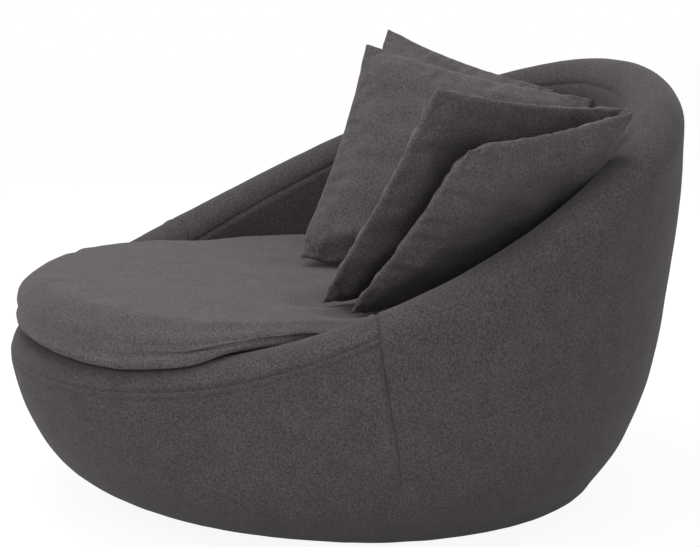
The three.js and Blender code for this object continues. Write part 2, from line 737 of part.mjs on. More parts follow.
// The zip strip closes the opening in the band at the back.
function seatZipLoop(angle) {
  const edge = seatReach(angle);
  const seam = seatSeamHeight(angle);
  const half = seatBoxing - seatCoverThickness / 2 - zipClearance;
  return [
    place(angle, edge - 2 * seatCoverThickness, seam - half),
    place(angle, edge - 2 * zipClearance, seam - half),
    place(angle, edge - 2 * zipClearance, seam + half),
    place(angle, edge - 2 * seatCoverThickness, seam + half),
  ];
}

const zipEnd = (zipHalfColumns * 2 * Math.PI) / columns;
const zipAngles = Array.from({ length: 2 * zipHalfColumns + 1 }, (_, k) => {
  const share = (k / zipHalfColumns - 1);
  const end = Math.abs(share) === 1 ? 1 - (2 * zipClearance) / (bowlRadius * zipEnd) : 1;
  return Math.PI + share * end * zipEnd;
});
sectionSweep('seat_cushion_zip', zipAngles, seatZipLoop, materials.zip);

// Scatter cushions: squares with pointed corners and drawn-in edges, closed by a seam all round.
const scatterHalf = scatterSide / 2;
function gridShares(cells) {
  return Array.from({ length: cells + 1 }, (_, k) => Math.sin((Math.PI / 2) * ((2 * k) / cells - 1)));
}

// How far the pulled corners shift a point of the cushion's plane.
function pulled(u, v, pullShares) {
  const weights = [(1 - u) * (1 + v), (1 + u) * (1 + v), (1 - u) * (1 - v), (1 + u) * (1 - v)];
  const along = (axis) => weights.reduce((sum, weight, k) => sum + (weight / 4) * pullShares[k][axis], 0);
  return [along(0) * scatterSide, along(1) * scatterSide];
}

function scatterPoint(u, v, swell, skin, pullShares) {
  const [aside, upwards] = pulled(u, v, pullShares);
  const x = u * (scatterHalf - scatterDraw * (1 - v * v)) + aside;
  const y = v * (scatterHalf - scatterDraw * (1 - u * u)) + upwards;
  const fill = Math.pow((1 - u * u) * (1 - v * v), scatterSwellShare);
  const half = scatterEdge + Math.abs(swell) * fill - skin;
  return [x, y, Math.sign(swell) * half];
}

function scatterPoints(cells, stance, inset, skin) {
  const scale = 1 - inset / scatterHalf;
  const shares = gridShares(cells).map((share) => share * scale);
  return [stance.front, -stance.back].flatMap((swell) => (
    shares.flatMap((u) => shares.map((v) => scatterPoint(u, v, swell, skin, stance.pullShares)))
  ));
}

// Faces of the front, the back and the seam; the seam is left out where the zip goes.
function scatterFaces(cells, zipCells) {
  const side = cells + 1;
  const half = side * side;
  const at = (i, j, back) => i * side + j + (back ? half : 0);
  const faces = [];
  for (let i = 0; i < cells; i += 1) {
    for (let j = 0; j < cells; j += 1) {
      faces.push([at(i, j, false), at(i + 1, j, false), at(i + 1, j + 1, false), at(i, j + 1, false)]);
      faces.push([at(i, j, true), at(i, j + 1, true), at(i + 1, j + 1, true), at(i + 1, j, true)]);
    }
    const open = Math.abs(i + 0.5 - cells / 2) < zipCells / 2;
    if (!open) faces.push([at(i, 0, false), at(i, 0, true), at(i + 1, 0, true), at(i + 1, 0, false)]);
    faces.push([at(i, cells, true), at(i, cells, false), at(i + 1, cells, false), at(i + 1, cells, true)]);
    faces.push([at(0, i, true), at(0, i, false), at(0, i + 1, false), at(0, i + 1, true)]);
    faces.push([at(cells, i, false), at(cells, i, true), at(cells, i + 1, true), at(cells, i + 1, false)]);
  }
  return faces;
}

// The zip strip follows the drawn-in lower edge.
function scatterZip(pullShares) {
  const shares = gridShares(scatterCells);
  const first = (scatterCells - scatterZipCells) / 2;
  const along = shares.slice(first, first + scatterZipCells + 1).map((share) => share * scatterZipShare);
  const half = scatterEdge - zipClearance;
  const points = along.flatMap((u) => {
    const [aside, upwards] = pulled(u, -1, pullShares);
    const x = u * scatterHalf + aside;
    const y = -(scatterHalf - scatterDraw * (1 - u * u)) + upwards + zipClearance;
    return [[x, y, -half], [x, y, half], [x, y + zipDepth, half], [x, y + zipDepth, -half]];
  });
  const faces = [[0, 1, 2, 3]];
  for (let i = 0; i < along.length - 1; i += 1) {
    for (let j = 0; j < 4; j += 1) {
      const next = (j + 1) % 4;
      faces.push([i * 4 + j, (i + 1) * 4 + j, (i + 1) * 4 + next, i * 4 + next]);
    }
  }
  const end = (along.length - 1) * 4;
  faces.push([end + 3, end + 2, end + 1, end]);
  return geometryFrom(points, faces);
}

// Height of the seat cushion's upper side at a place.
function seatTopAt(x, y) {
  const reach = Math.hypot(x, y);
  const angle = Math.atan2(x, -y);
  const upper = seatSection(angle, 0).slice(0, seatUpperShares.length + 1);
  const line = [[0, 0, seatShoulder + seatCrown], ...upper];
  const along = line.map((point) => Math.hypot(point[0], point[1]));
  const k = along.findIndex((distance) => distance > reach);
  if (k < 1) return deckTop;
  const share = (reach - along[k - 1]) / (along[k] - along[k - 1]);
  return line[k - 1][2] + (line[k][2] - line[k - 1][2]) * share;
}

scatterStances.forEach((stance, k) => {
  const group = new THREE.Group();
  const yaw = radians(stance.yaw);
  const lean = radians(stance.lean);
  const width = new THREE.Vector3(Math.cos(yaw), Math.sin(yaw), 0);
  const forwards = new THREE.Vector3(Math.sin(yaw), -Math.cos(yaw), 0);
  const upwards = new THREE.Vector3(0, 0, Math.cos(lean)).addScaledVector(forwards, -Math.sin(lean));
  const face = new THREE.Vector3().crossVectors(width, upwards);
  group.quaternion.setFromRotationMatrix(new THREE.Matrix4().makeBasis(width, upwards, face));
  group.rotateZ(radians(stance.roll));
  const [x, y] = stance.placeShares;
  group.position.set(x * bowlRadius, y * bowlRadius, 0);
  group.updateMatrix();
  const outline = scatterPoints(scatterCells, stance, 0, 0);
  const heights = outline.map((point) => {
    const at = new THREE.Vector3(...point).applyMatrix4(group.matrix);
    return at.z - seatTopAt(at.x, at.y);
  });
  group.position.z = scatterRest - Math.min(...heights);
  chair.add(group);
  const cover = thickSkin(
    outline,
    scatterPoints(scatterCells, stance, scatterMargin, scatterCoverThickness),
    scatterFaces(scatterCells, scatterZipCells),
  );
  const padSkin = scatterCoverThickness + scatterPadGap;
  const padInset = scatterMargin + 2 * scatterPadGap;
  const padOutline = scatterPoints(scatterPadCells, stance, padInset, padSkin);
  const pad = geometryFrom(padOutline, scatterFaces(scatterPadCells, 0));
  add(`scatter_cover_${k + 1}`, cover, materials.fabric, group);
  add(`scatter_pad_${k + 1}`, pad, materials.fibre, group);
  add(`scatter_zip_${k + 1}`, scatterZip(stance.pullShares), materials.zip, group);
});

export default chair;
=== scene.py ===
# %% [markdown]
# A round cuddle chair in charcoal cloth. The frame and every hidden board, strap and foam come
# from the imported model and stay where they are. This file dresses it: the cloth panels of the
# bowl, the sewn rim, one large seat cushion and four scatter cushions. Lengths are metres.

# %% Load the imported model
import json
import math
import bmesh
import bpy
from mathutils import Matrix, Vector, noise
from mathutils.bvhtree import BVHTree


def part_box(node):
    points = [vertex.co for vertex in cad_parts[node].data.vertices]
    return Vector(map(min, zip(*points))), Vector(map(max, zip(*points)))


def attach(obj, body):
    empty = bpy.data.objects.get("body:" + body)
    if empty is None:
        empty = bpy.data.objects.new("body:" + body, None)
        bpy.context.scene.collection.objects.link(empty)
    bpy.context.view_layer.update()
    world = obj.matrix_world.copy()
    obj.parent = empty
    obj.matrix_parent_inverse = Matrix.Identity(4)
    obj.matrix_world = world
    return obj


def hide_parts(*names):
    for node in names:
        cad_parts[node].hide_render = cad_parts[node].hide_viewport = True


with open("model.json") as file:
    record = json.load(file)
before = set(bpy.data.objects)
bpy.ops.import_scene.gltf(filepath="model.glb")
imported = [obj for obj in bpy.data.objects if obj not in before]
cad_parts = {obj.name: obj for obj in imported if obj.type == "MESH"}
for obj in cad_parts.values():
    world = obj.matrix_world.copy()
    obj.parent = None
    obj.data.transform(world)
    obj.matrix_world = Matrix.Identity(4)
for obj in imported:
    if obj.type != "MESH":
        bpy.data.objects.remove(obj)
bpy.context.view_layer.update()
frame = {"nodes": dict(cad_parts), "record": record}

nodes = frame["nodes"]

# %% [markdown]
# The view. The chair was photographed from its own left, a little above the seat, from far
# enough away that the far rim is hardly smaller than the near one. So the camera is placed by
# its direction and distance from the middle of the chair, with a long lens. The picture's own
# middle is not quite where the lens points, and a small shift takes that up.

# %% The camera
view_azimuth, view_elevation = math.radians(67.5), math.radians(11.0)
view_target = Vector((0, -0.0061, 0.4))
view_distance = 3.414
towards_camera = Vector((math.sin(view_azimuth) * math.cos(view_elevation),
                         -math.cos(view_azimuth) * math.cos(view_elevation),
                         math.sin(view_elevation)))
lens = bpy.data.cameras.new("view")
lens.sensor_width = 36
lens.lens = 86.7
lens.shift_x, lens.shift_y = 0.0127, 0.0157
camera = bpy.data.objects.new("view", lens)
camera.location = view_target + towards_camera * view_distance
camera.rotation_euler = (-towards_camera).to_track_quat("-Z", "Y").to_euler()
bpy.context.scene.collection.objects.link(camera)
bpy.context.scene.camera = camera
print("camera at", [round(c, 3) for c in camera.location])

# %% [markdown]
# Studio light. The tops are a good deal brighter than the sides, no shadow has a hard edge, and
# even the hollows beside the cushions are lit. So one wide lamp hangs over the chair, a large
# weaker one stands at the camera's left, a low one beside the camera looks into the hollows, and
# a faint one keeps the far side from going black. The room gives the rest. It is white to the
# camera at strength 1 and dimmer as a lamp.

# %% A helper that adds one shader node with its settings and links, and one for colours
def add(tree, kind, settings=None, **links):
    node = tree.nodes.new(kind)
    for name, value in (settings or {}).items():
        if isinstance(name, str) and hasattr(node, name):
            setattr(node, name, value)
        else:
            node.inputs[name].default_value = value
    for name, source in links.items():
        numbered = name[0] == "i" and name[1:].isdigit()
        socket = node.inputs[int(name[1:]) if numbered else name.replace("_", " ")]
        tree.links.new(source, socket)
    return node


def colour(code):
    parts = [int(code[k:k + 2], 16) / 255 for k in (1, 3, 5)]
    return tuple(c / 12.92 if c <= 0.04045 else ((c + 0.055) / 1.055) ** 2.4 for c in parts) + (1.0,)


# %% The lamps and the white room
def hang_lamp(name, place, aim, size, watts):
    lamp = bpy.data.lights.new(name, "AREA")
    lamp.shape, lamp.size, lamp.energy = "DISK", size, watts
    holder = bpy.data.objects.new(name, lamp)
    holder.location = place
    holder.rotation_euler = (Vector(aim) - Vector(place)).to_track_quat("-Z", "Y").to_euler()
    bpy.context.scene.collection.objects.link(holder)


hang_lamp("ceiling_panel", (-0.4, -0.6, 3.4), (0, 0, 0.3), 2.6, 60)
hang_lamp("left_panel", (1.5, -3.2, 2.5), (0, 0, 0.4), 2.2, 31)
hang_lamp("low_panel", (3.4, -0.6, 0.8), (0, 0, 0.5), 2.2, 25)
hang_lamp("far_panel", (-2.8, 2.6, 2.4), (0, 0, 0.4), 2.2, 12)

room_strength = 0.45
room = bpy.data.worlds.new("white_room")
bpy.context.scene.world = room
room.use_nodes = True
room.node_tree.nodes.clear()
seen = add(room.node_tree, "ShaderNodeLightPath")
glossy_or_camera = add(room.node_tree, "ShaderNodeMath", {"operation": "MAXIMUM"},
                       i0=seen.outputs["Is Camera Ray"], i1=seen.outputs["Is Glossy Ray"])
strength = add(room.node_tree, "ShaderNodeMapRange", {"To Min": room_strength, "To Max": 1.0},
               Value=glossy_or_camera.outputs[0])
room_light = add(room.node_tree, "ShaderNodeBackground", {"Color": (1, 1, 1, 1)},
                 Strength=strength.outputs[0])
add(room.node_tree, "ShaderNodeOutputWorld", Surface=room_light.outputs[0])
scene = bpy.context.scene
scene.view_settings.view_transform = "Standard"

# %% [markdown]
# The floor is a wide pale disc. To the camera it is mostly plain white, as in a cut-out picture,
# with a share of real shading left in it so that the chair's soft shadow still shows.

# %% The floor
def new_object(name, mesh_or_bm):
    mesh = mesh_or_bm
    if isinstance(mesh_or_bm, bmesh.types.BMesh):
        mesh = bpy.data.meshes.new(name)
        mesh_or_bm.to_mesh(mesh)
        mesh_or_bm.free()
    made = bpy.data.objects.new(name, mesh)
    bpy.context.scene.collection.objects.link(made)
    return made


floor_radius, plain_share, plain_strength = 14, 0.80, 1.14
bm = bmesh.new()
bmesh.ops.create_circle(bm, cap_ends=True, segments=96, radius=floor_radius)
floor = new_object("floor", bm)
floor_paint = bpy.data.materials.new("matt_white_floor_paint")
floor_paint.use_nodes = True
tree = floor_paint.node_tree
tree.nodes.clear()
seen = add(tree, "ShaderNodeLightPath")
shaded = add(tree, "ShaderNodeBsdfDiffuse", {"Color": colour("#e9e8e6")})
plain = add(tree, "ShaderNodeEmission", {"Color": (1, 1, 1, 1), "Strength": plain_strength})
share = add(tree, "ShaderNodeMath", {"operation": "MULTIPLY", 1: plain_share},
            i0=seen.outputs["Is Camera Ray"])
mixed = add(tree, "ShaderNodeMixShader", Fac=share.outputs[0], i1=shaded.outputs[0], i2=plain.outputs[0])
add(tree, "ShaderNodeOutputMaterial", Surface=mixed.outputs[0])
floor.data.materials.append(floor_paint)

# %% [markdown]
# The cloth is a charcoal furnishing fabric with a short brushed face: two yarns, one a shade
# lighter, under a fine nap. Up close that is a fine fleck; from a step away it is a soft matt
# surface whose folded edges catch a sheen, because the nap there turns its side to the light. The
# yarns are 0.9 mm apart, too fine for the picture, so the fleck is drawn at about 3.5 mm, with a
# broader cloudiness of 50 mm for the way a nap lies. That edge sheen is painted: an attribute makes
# the colour lighter along edges and seams. It is painted sheen, with a little rubbed pile.
# The cushions' cloth is the same one made a shade lighter. This is painted light: it stands in
# for the light that their leaning, shaded faces get too little of.

# %% The charcoal cloth
# The middle number is how much lighter the painted edge sheen makes the colour.
nap_cloud, painted_edge_sheen, nap_relief = 0.05, 0.32, 0.0009


def brushed_cloth(name, face, fleck, fleck_size):
    finish = bpy.data.materials.new(name)
    finish.use_nodes = True
    tree = finish.node_tree
    tree.nodes.clear()
    place = add(tree, "ShaderNodeTexCoord")
    where = place.outputs["Object"]
    fine = add(tree, "ShaderNodeTexNoise", {"Scale": 1 / fleck_size, "Detail": 3.0, "Roughness": 0.65},
               Vector=where)
    cloud = add(tree, "ShaderNodeTexNoise", {"Scale": 1 / nap_cloud, "Detail": 2.0}, Vector=where)
    yarn = add(tree, "ShaderNodeTexVoronoi", {"Scale": 1 / (0.7 * fleck_size), "Randomness": 1.0},
               Vector=where)
    fine_share = add(tree, "ShaderNodeMapRange", {"From Min": 0.35, "From Max": 0.65}, Value=fine.outputs[0])
    two_yarns = add(tree, "ShaderNodeMix", {"data_type": "RGBA", 6: colour(face), 7: colour(fleck)},
                    Factor=fine_share.outputs[0])
    nap = add(tree, "ShaderNodeMapRange", {"From Min": 0.3, "From Max": 0.7, "To Min": 0.93, "To Max": 1.07},
              Value=cloud.outputs[0])
    # Painted sheen: the edge attribute makes the cloth's colour lighter along edges and seams.
    edge = add(tree, "ShaderNodeAttribute", {"attribute_name": "edge"})
    sheen_painted_tone = add(tree, "ShaderNodeMath", {"operation": "MULTIPLY_ADD", 1: painted_edge_sheen},
                i0=edge.outputs["Fac"], i2=nap.outputs[0])
    tone = add(tree, "ShaderNodeVectorMath", {"operation": "SCALE"},
               i0=two_yarns.outputs[2], Scale=sheen_painted_tone.outputs[0])
    height = add(tree, "ShaderNodeMath", {"operation": "ADD"},
                 i0=fine.outputs[0], i1=yarn.outputs["Distance"])
    relief = add(tree, "ShaderNodeBump", {"Strength": 0.22, "Distance": nap_relief}, Height=height.outputs[0])
    cloth = add(tree, "ShaderNodeBsdfPrincipled",
                {"Roughness": 0.95, "Specular IOR Level": 0.15, "Sheen Weight": 0.10, "Sheen Roughness": 0.45,
                 "Sheen Tint": (0.9, 0.88, 0.9, 1.0)},
                Base_Color=tone.outputs[0], Normal=relief.outputs[0])
    add(tree, "ShaderNodeOutputMaterial", Surface=cloth.outputs[0])
    return finish


fleck_drawn = 0.0035
charcoal = brushed_cloth("charcoal_brushed_furnishing_cloth", "#393537", "#585356", fleck_drawn)
# A lighter copy of the cloth for the cushions: painted light for their shaded faces.
cushion_cloth_painted_lighter = brushed_cloth("charcoal_cloth_lighter_painted_light", "#403c3e", "#625c60", fleck_drawn)
print("cloths", charcoal.name, cushion_cloth_painted_lighter.name)

# %% [markdown]
# The bowl's form. Seen from above, every level of the bowl is a circle. The circles grow from the
# foot to the belly and wander backwards on the way up, and the rim climbs from the low front lip
# to the high back. Near the floor they stand further back, as a keel, and a little extra padding
# rounds out the hollow behind the foot. The panels below are all laid on this one form, so it is
# written once.

# %% The bowl's levels
belly_radius, foot_radius, belly_height = 0.650, 0.431, 0.400
belly_power, foot_power = 2.4, 0.69
foot_centre, keel_reach, keel_height, keel_power = -0.0251, 0.086, 0.120, 2.8
back_shift, shift_start, shift_span = 0.042, 0.250, 0.400
heel_depth, heel_height, heel_spread = 0.0060, 0.085, 0.055
front_lip, back_crest, crest_power = 0.343, 0.839, 1.355
roll_radius = 0.055


def smooth(t):
    t = min(1.0, max(0.0, t))
    return t * t * (3 - 2 * t)


def bump_at(distance, width):
    return math.exp(-(distance / width) ** 2)


def heel(z):
    """Padding that fills the bowl's hollow behind the foot."""
    return heel_depth * bump_at(z - heel_height, heel_spread)


def level_radius(z):
    climb = min(1.0, max(0.0, z / belly_height))
    growth = (1 - (1 - climb) ** belly_power) ** foot_power
    return foot_radius + (belly_radius - foot_radius) * growth + heel(z)


def level_centre(z):
    upper = back_shift * smooth((z - shift_start) / shift_span)
    keel = keel_reach * min(1.0, max(0.0, 1 - z / keel_height)) ** keel_power
    return foot_centre + upper + keel + heel(z)


def reach(angle, z):
    """Distance from the Z axis to the form; the angle is counted from the front towards +X."""
    centre = level_centre(z)
    across = centre * math.sin(angle)
    return math.sqrt(level_radius(z) ** 2 - across ** 2) - centre * math.cos(angle)


def crest(angle):
    return front_lip + (back_crest - front_lip) * ((1 - math.cos(angle)) / 2) ** crest_power


def polar(angle, distance, z):
    return Vector((distance * math.sin(angle), -distance * math.cos(angle), z))


print("front lip", round(crest(0), 3), "back", round(crest(math.pi), 3))

# %% [markdown]
# A panel's height runs in metres along its section: nought is where the rim's roll begins on the
# outer side, minus is down the side of the bowl and plus is along the roll and over it. The last
# stretch at the bottom is a hem, turned under the base and out of sight.

# %% One point of the bowl's section
hem_height, hem_width = 0.0035, 0.050


def section_point(angle, height):
    base = crest(angle) - roll_radius
    if height > 0:
        turn = height / roll_radius
        middle = reach(angle, base) - roll_radius
        return polar(angle, middle + roll_radius * math.cos(turn), base + roll_radius * math.sin(turn))
    z = base + height
    if z >= hem_height:
        return polar(angle, reach(angle, z), z)
    return polar(angle, reach(angle, hem_height) - (hem_height - z), hem_height)


def section_normal(angle, height):
    step = 0.002
    along = section_point(angle + step, height) - section_point(angle - step, height)
    up = section_point(angle, height + step) - section_point(angle, height - step)
    return along.cross(up).normalized()


# %% [markdown]
# The seams of the bowl. On each side an upright seam joins the front panel to the back panel; it
# leans back a little on its way down. The rim has a band of its own from one upright seam round
# the front to the other, sewn to the front panel just above the place where the roll begins. A
# second row of stitching, 13 mm lower, holds the turned edges flat, so the seam shows as two
# lines. Along a line the cloth is drawn in a few millimetres and swells a little beside it.

# %% Where the seams run
side_seam = math.radians(74)
row_spacing = 0.013
seam_stations = ((0.030, 72.75), (-0.005, 73.0), (-0.060, 73.75),
                 (-0.120, 74.5), (-0.155, 75.25), (-0.250, 76.5))
seam_rise, seam_climb, climb_start, climb_span, climb_power = 0.0135, 0.0145, 50, 22, 1.3


def side_seam_at(height):
    """The angle of the upright seam at a height of the section."""
    if height >= seam_stations[0][0]:
        return math.radians(seam_stations[0][1])
    for (top, high), (bottom, low) in zip(seam_stations, seam_stations[1:]):
        if height >= bottom:
            return math.radians(high + (low - high) * (top - height) / (top - bottom))
    return math.radians(seam_stations[-1][1])


def band_seam(angle):
    """Height of the band's seam, which climbs a little just before the upright seam."""
    turn = min(1.0, max(0.0, (abs(math.degrees(angle)) - climb_start) / climb_span))
    return seam_rise + seam_climb * turn ** climb_power


# %% [markdown]
# What a seam does to the cloth beside it is written as a few lines, each with its height, its
# place and its width: a groove where the cloth is drawn in, and a swell next to it. Small puckers
# run across them. Low on the side the upright seam fades, because the cloth there is pulled tight
# under the base, and in front the band's seam draws the cloth in less than it does at the sides.

# %% The lines of each seam
deepest_seam = 0.0026
side_lines = ((-deepest_seam, 0, 0.0032), (0.0020, -0.010, 0.008))
band_lines = ((-0.0027, 0, 0.0034), (-0.0021, row_spacing, 0.0030), (0.0012, -0.010, 0.008),
              (0.0012, row_spacing / 2, 0.004), (0.0010, row_spacing + 0.011, 0.009))
pucker_pitch, pucker_length = 0.016, 0.05
side_pucker, side_pucker_width, band_pucker, band_pucker_width = 0.0009, 0.028, 0.0012, 0.022
seam_fade_from, seam_fade_span = -0.30, 0.15
front_share, taut_from, taut_span = 0.45, 12, 30


def drawn_in(place, lines):
    return sum(height * bump_at(place - at, width) for height, at, width in lines)


def pucker(along, across, width, seed):
    """Small folds that a seam draws into the cloth beside it."""
    fade = bump_at(across, width)
    return fade * noise.noise(Vector((along / pucker_pitch, across / pucker_length, seed)))


# %% How far the cloth stands off the form beside its seams
def side_relief(turn, height):
    beside = (abs(turn) - side_seam_at(height)) * belly_radius
    folds = side_pucker * pucker(height, beside, side_pucker_width, 3.0 + math.copysign(1, turn))
    return smooth((height - seam_fade_from) / seam_fade_span) * (drawn_in(beside, side_lines) + folds)


def band_relief(turn, height):
    below = band_seam(turn) - height
    folds = band_pucker * pucker(turn * belly_radius, below - row_spacing / 2, band_pucker_width, 9.0)
    taut = smooth((abs(math.degrees(turn)) - taut_from) / taut_span)
    return (front_share + (1 - front_share) * taut) * (drawn_in(below, band_lines) + folds)


def seam_relief(angle, height):
    turn = math.atan2(math.sin(angle), math.cos(angle))
    relief = side_relief(turn, height)
    if abs(turn) < side_seam_at(height):
        relief += band_relief(turn, height)
    return relief


print("band seam at the front and at the side", round(band_seam(0), 4), round(band_seam(side_seam), 4))

# %% [markdown]
# The cloth between the seams is never quite flat: two slow waves, one broad and one finer, give it
# the slack of fabric over soft padding. The seam at the inner end of the roll draws it in once more.

# %% A point on the finished face of the bowl's cloth
slack_waves = ((0.0016, 0.15), (0.0007, 0.045))
inner_seam_depth, inner_seam_width = 0.0022, 0.007


def cloth_point(angle, height):
    form = section_point(angle, height)
    slack = sum(wave * noise.noise(form / length) for wave, length in slack_waves)
    inner_seam = -inner_seam_depth * bump_at(height - math.pi * roll_radius, inner_seam_width)
    stand_off = max(-deepest_seam, seam_relief(angle, height) + slack + inner_seam)
    return form + section_normal(angle, height) * stand_off


print("cloth at the front of the rim", [round(c, 4) for c in cloth_point(0, 0)])

# %% [markdown]
# A panel starts as a flat grid of cloth. Every knot is laid on the form, and the sheet is then
# given its thickness inwards. The knots crowd together next to the seams, so that the drawn-in
# line stays crisp: a share of the way along is raised to a power, which is the panel's crowding.

# %% Laying a panel of cloth on the bowl
cloth_thickness, firm_fill = 0.0022, 0.98


def give_thickness(sheet):
    solid = sheet.modifiers.new("cloth_thickness", "SOLIDIFY")
    solid.thickness, solid.offset = cloth_thickness, -1.0


def lay_panel(name, across, up, angle_at, height_at, node):
    bm = bmesh.new()
    bmesh.ops.create_grid(bm, x_segments=across, y_segments=up, size=0.5)
    for knot in bm.verts:
        nominal = angle_at(knot.co.x + 0.5)
        height = height_at(nominal, knot.co.y + 0.5)
        if side_seam * 1.0001 < nominal:
            spread = (math.pi - side_seam_at(height)) / (math.pi - side_seam)
            angle = math.pi - (math.pi - nominal) * spread
        else:
            angle = nominal * side_seam_at(height) / side_seam
        knot.co = cloth_point(angle, height)
    panel = new_object(name, bm)
    panel.data.polygons.foreach_set("use_smooth", [True] * len(panel.data.polygons))
    panel.data.materials.append(charcoal)
    give_thickness(panel)
    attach(panel, "bowl")
    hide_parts(node)
    print(name, len(panel.data.polygons), "faces")


def crowd_ends(share, strength=0.75):
    """A share from 0 to 1 whose steps are finer at both ends."""
    return share - strength * math.sin(2 * math.pi * share) / (2 * math.pi)


# %% [markdown]
# Three panels cover the bowl, as a cutter lays them out: one in front, a band over the rim, and
# one round the back that runs over the rim in one piece. Each is the same grid with its own pair
# of rules for where a row and a column lie.

# %% The front panel, from the hem up to the band's seam
front_crowding = 1.9


def front_angle(share):
    return side_seam * (2 * crowd_ends(share) - 1)


def hem_start(angle):
    return -(crest(angle) - roll_radius) - hem_width + hem_height


def front_height(angle, share):
    bottom = hem_start(angle)
    return bottom + (band_seam(angle) - bottom) * (1 - (1 - share) ** front_crowding)


lay_panel("front_panel", 300, 96, front_angle, front_height, "outer_cover_front")


# %% [markdown]
# The rim band starts at its seam on the front panel and goes over the roll to the inner side. Its
# rows are closer near the seam, where the cloth is drawn in.

# %% The rim band, from its seam over the roll and down inside
band_crowding = 1.35


def band_height(angle, share):
    top = math.pi * roll_radius
    return band_seam(angle) + (top - band_seam(angle)) * share ** band_crowding


lay_panel("rim_band", 300, 40, front_angle, band_height, "rim_cover")


# %% [markdown]
# The back panel has no band: from one upright seam round to the other it is one piece from the hem
# to the inner side of the roll. It starts a hair beyond the seam, so that the two panels' edges
# meet without lying in each other.

# %% The back panel, which runs over the rim in one piece
seam_hair, back_crowding = 0.00002, 1.35


def back_angle(share):
    return side_seam + seam_hair + 2 * (math.pi - side_seam - seam_hair) * crowd_ends(share)


def back_height(angle, share):
    bottom = hem_start(angle)
    return bottom + (math.pi * roll_radius - bottom) * (1 - (1 - share) ** back_crowding)


lay_panel("back_panel", 280, 130, back_angle, back_height, "outer_cover_back")

# %% [markdown]
# The inside of the wall is a plain panel over thick foam. It starts under the rim's roll, at a
# drawn-in seam, and goes down behind the seat cushion. Only a strip of it shows between the
# cushions, but it is what one sees when they are lifted out.

# %% The inner wall
wall_thickness = 2 * roll_radius
wall_foot, wall_tuck, wall_from, wall_span = 0.313, 0.0045, math.radians(50), math.radians(260)
wall_ease, wall_swell, wall_seam_depth, wall_seam_width = 0.0012, 0.003, 0.0036, 0.0075
wall_crowding = 1.4


def inner_wall_point(angle, share):
    top = crest(angle) - roll_radius + wall_tuck
    z = wall_foot + (top - wall_foot) * (1 - (1 - share) ** wall_crowding)
    swell = wall_ease + wall_swell * math.sqrt(max(0.0, math.sin(math.pi * share)))
    swell -= wall_seam_depth * bump_at(top - z, wall_seam_width)
    return polar(angle, reach(angle, z) - wall_thickness - swell, z)


bm = bmesh.new()
bmesh.ops.create_grid(bm, x_segments=180, y_segments=36, size=0.5)
for knot in bm.verts:
    angle = wall_from + wall_span * (0.5 - knot.co.x)
    knot.co = inner_wall_point(angle, knot.co.y + 0.5)
inner_wall = new_object("inner_wall", bm)
inner_wall.data.polygons.foreach_set("use_smooth", [True] * len(inner_wall.data.polygons))
inner_wall.data.materials.append(charcoal)
give_thickness(inner_wall)
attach(inner_wall, "bowl")
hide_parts("inner_back_cover")

# %% [markdown]
# The deck under the seat cushion is a taut round of cloth with a stitched edge, pulled down over
# the deck pad and fixed to the edge of the deck ring. It shows only when the cushion is lifted
# out. The round is inset for its stitched line, and its border is extruded down for the turned
# edge. Pulled taut, it has no spare cloth, so its flat round is the deck and what is turned down.

# %% The deck cloth
deck_low, deck_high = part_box("deck_cover")
deck_middle = (Vector(deck_low) + Vector(deck_high)) / 2
deck_ease, deck_turned, deck_groove, deck_edge = 0.0008, 0.036, 0.0012, 0.003
deck_radius = (deck_high[0] - deck_low[0]) / 2 + cloth_thickness + deck_ease
bm = bmesh.new()
bmesh.ops.create_circle(bm, cap_ends=True, segments=144, radius=deck_radius)
for inset in (0.004, 0.008, 0.020, 0.060):
    middle = [face for face in bm.faces if len(face.verts) > 4]
    bmesh.ops.inset_region(bm, faces=middle, thickness=inset, use_boundary=True, use_even_offset=True)
rounds = sorted({round(v.co.length, 4) for v in bm.verts}, reverse=True)
for knot in bm.verts:
    if abs(knot.co.length - rounds[1]) < 0.001:
        knot.co.z -= deck_groove
border = [edge for edge in bm.edges if edge.is_boundary]
turned = bmesh.ops.extrude_edge_only(bm, edges=border)["geom"]
turned = [part for part in turned if isinstance(part, bmesh.types.BMVert)]
bmesh.ops.translate(bm, verts=turned, vec=(0, 0, -deck_turned))
bmesh.ops.bevel(bm, geom=border, offset=deck_edge, segments=3, profile=0.5, affect="EDGES", material=-1)
bmesh.ops.recalc_face_normals(bm, faces=bm.faces[:])
bmesh.ops.translate(bm, verts=bm.verts, vec=(deck_middle.x, deck_middle.y, deck_high[2]))
deck_cloth = new_object("deck_cloth", bm)
deck_cloth.data.materials.append(charcoal)
give_thickness(deck_cloth)
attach(deck_cloth, "bowl")
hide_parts("deck_cover")

# %% [markdown]
# Stitches. A row is one short thread after another, each sunk into the cloth at its ends, so one
# stitch is a small rounded bar and a row is that bar copied along the seam. The thread is bonded
# polyester in the cloth's own colour, a touch lighter because it is smooth.

# %% The sewing thread and a row of stitches
thread = bpy.data.materials.new("charcoal_bonded_polyester_thread")
thread.use_nodes = True
tree = thread.node_tree
bsdf = tree.nodes["Principled BSDF"]
bsdf.inputs["Roughness"].default_value = 0.55
where = add(tree, "ShaderNodeTexCoord")
twist = add(tree, "ShaderNodeTexNoise", {"Scale": 900.0, "Detail": 1.0}, Vector=where.outputs["Object"])
shade = add(tree, "ShaderNodeMix", {"data_type": "RGBA", 6: colour("#423e41"), 7: colour("#544f52")},
            Factor=twist.outputs[0])
tree.links.new(shade.outputs[2], bsdf.inputs["Base Color"])
stitch_length, stitch_gap, thread_radius = 0.0042, 0.0016, 0.0006


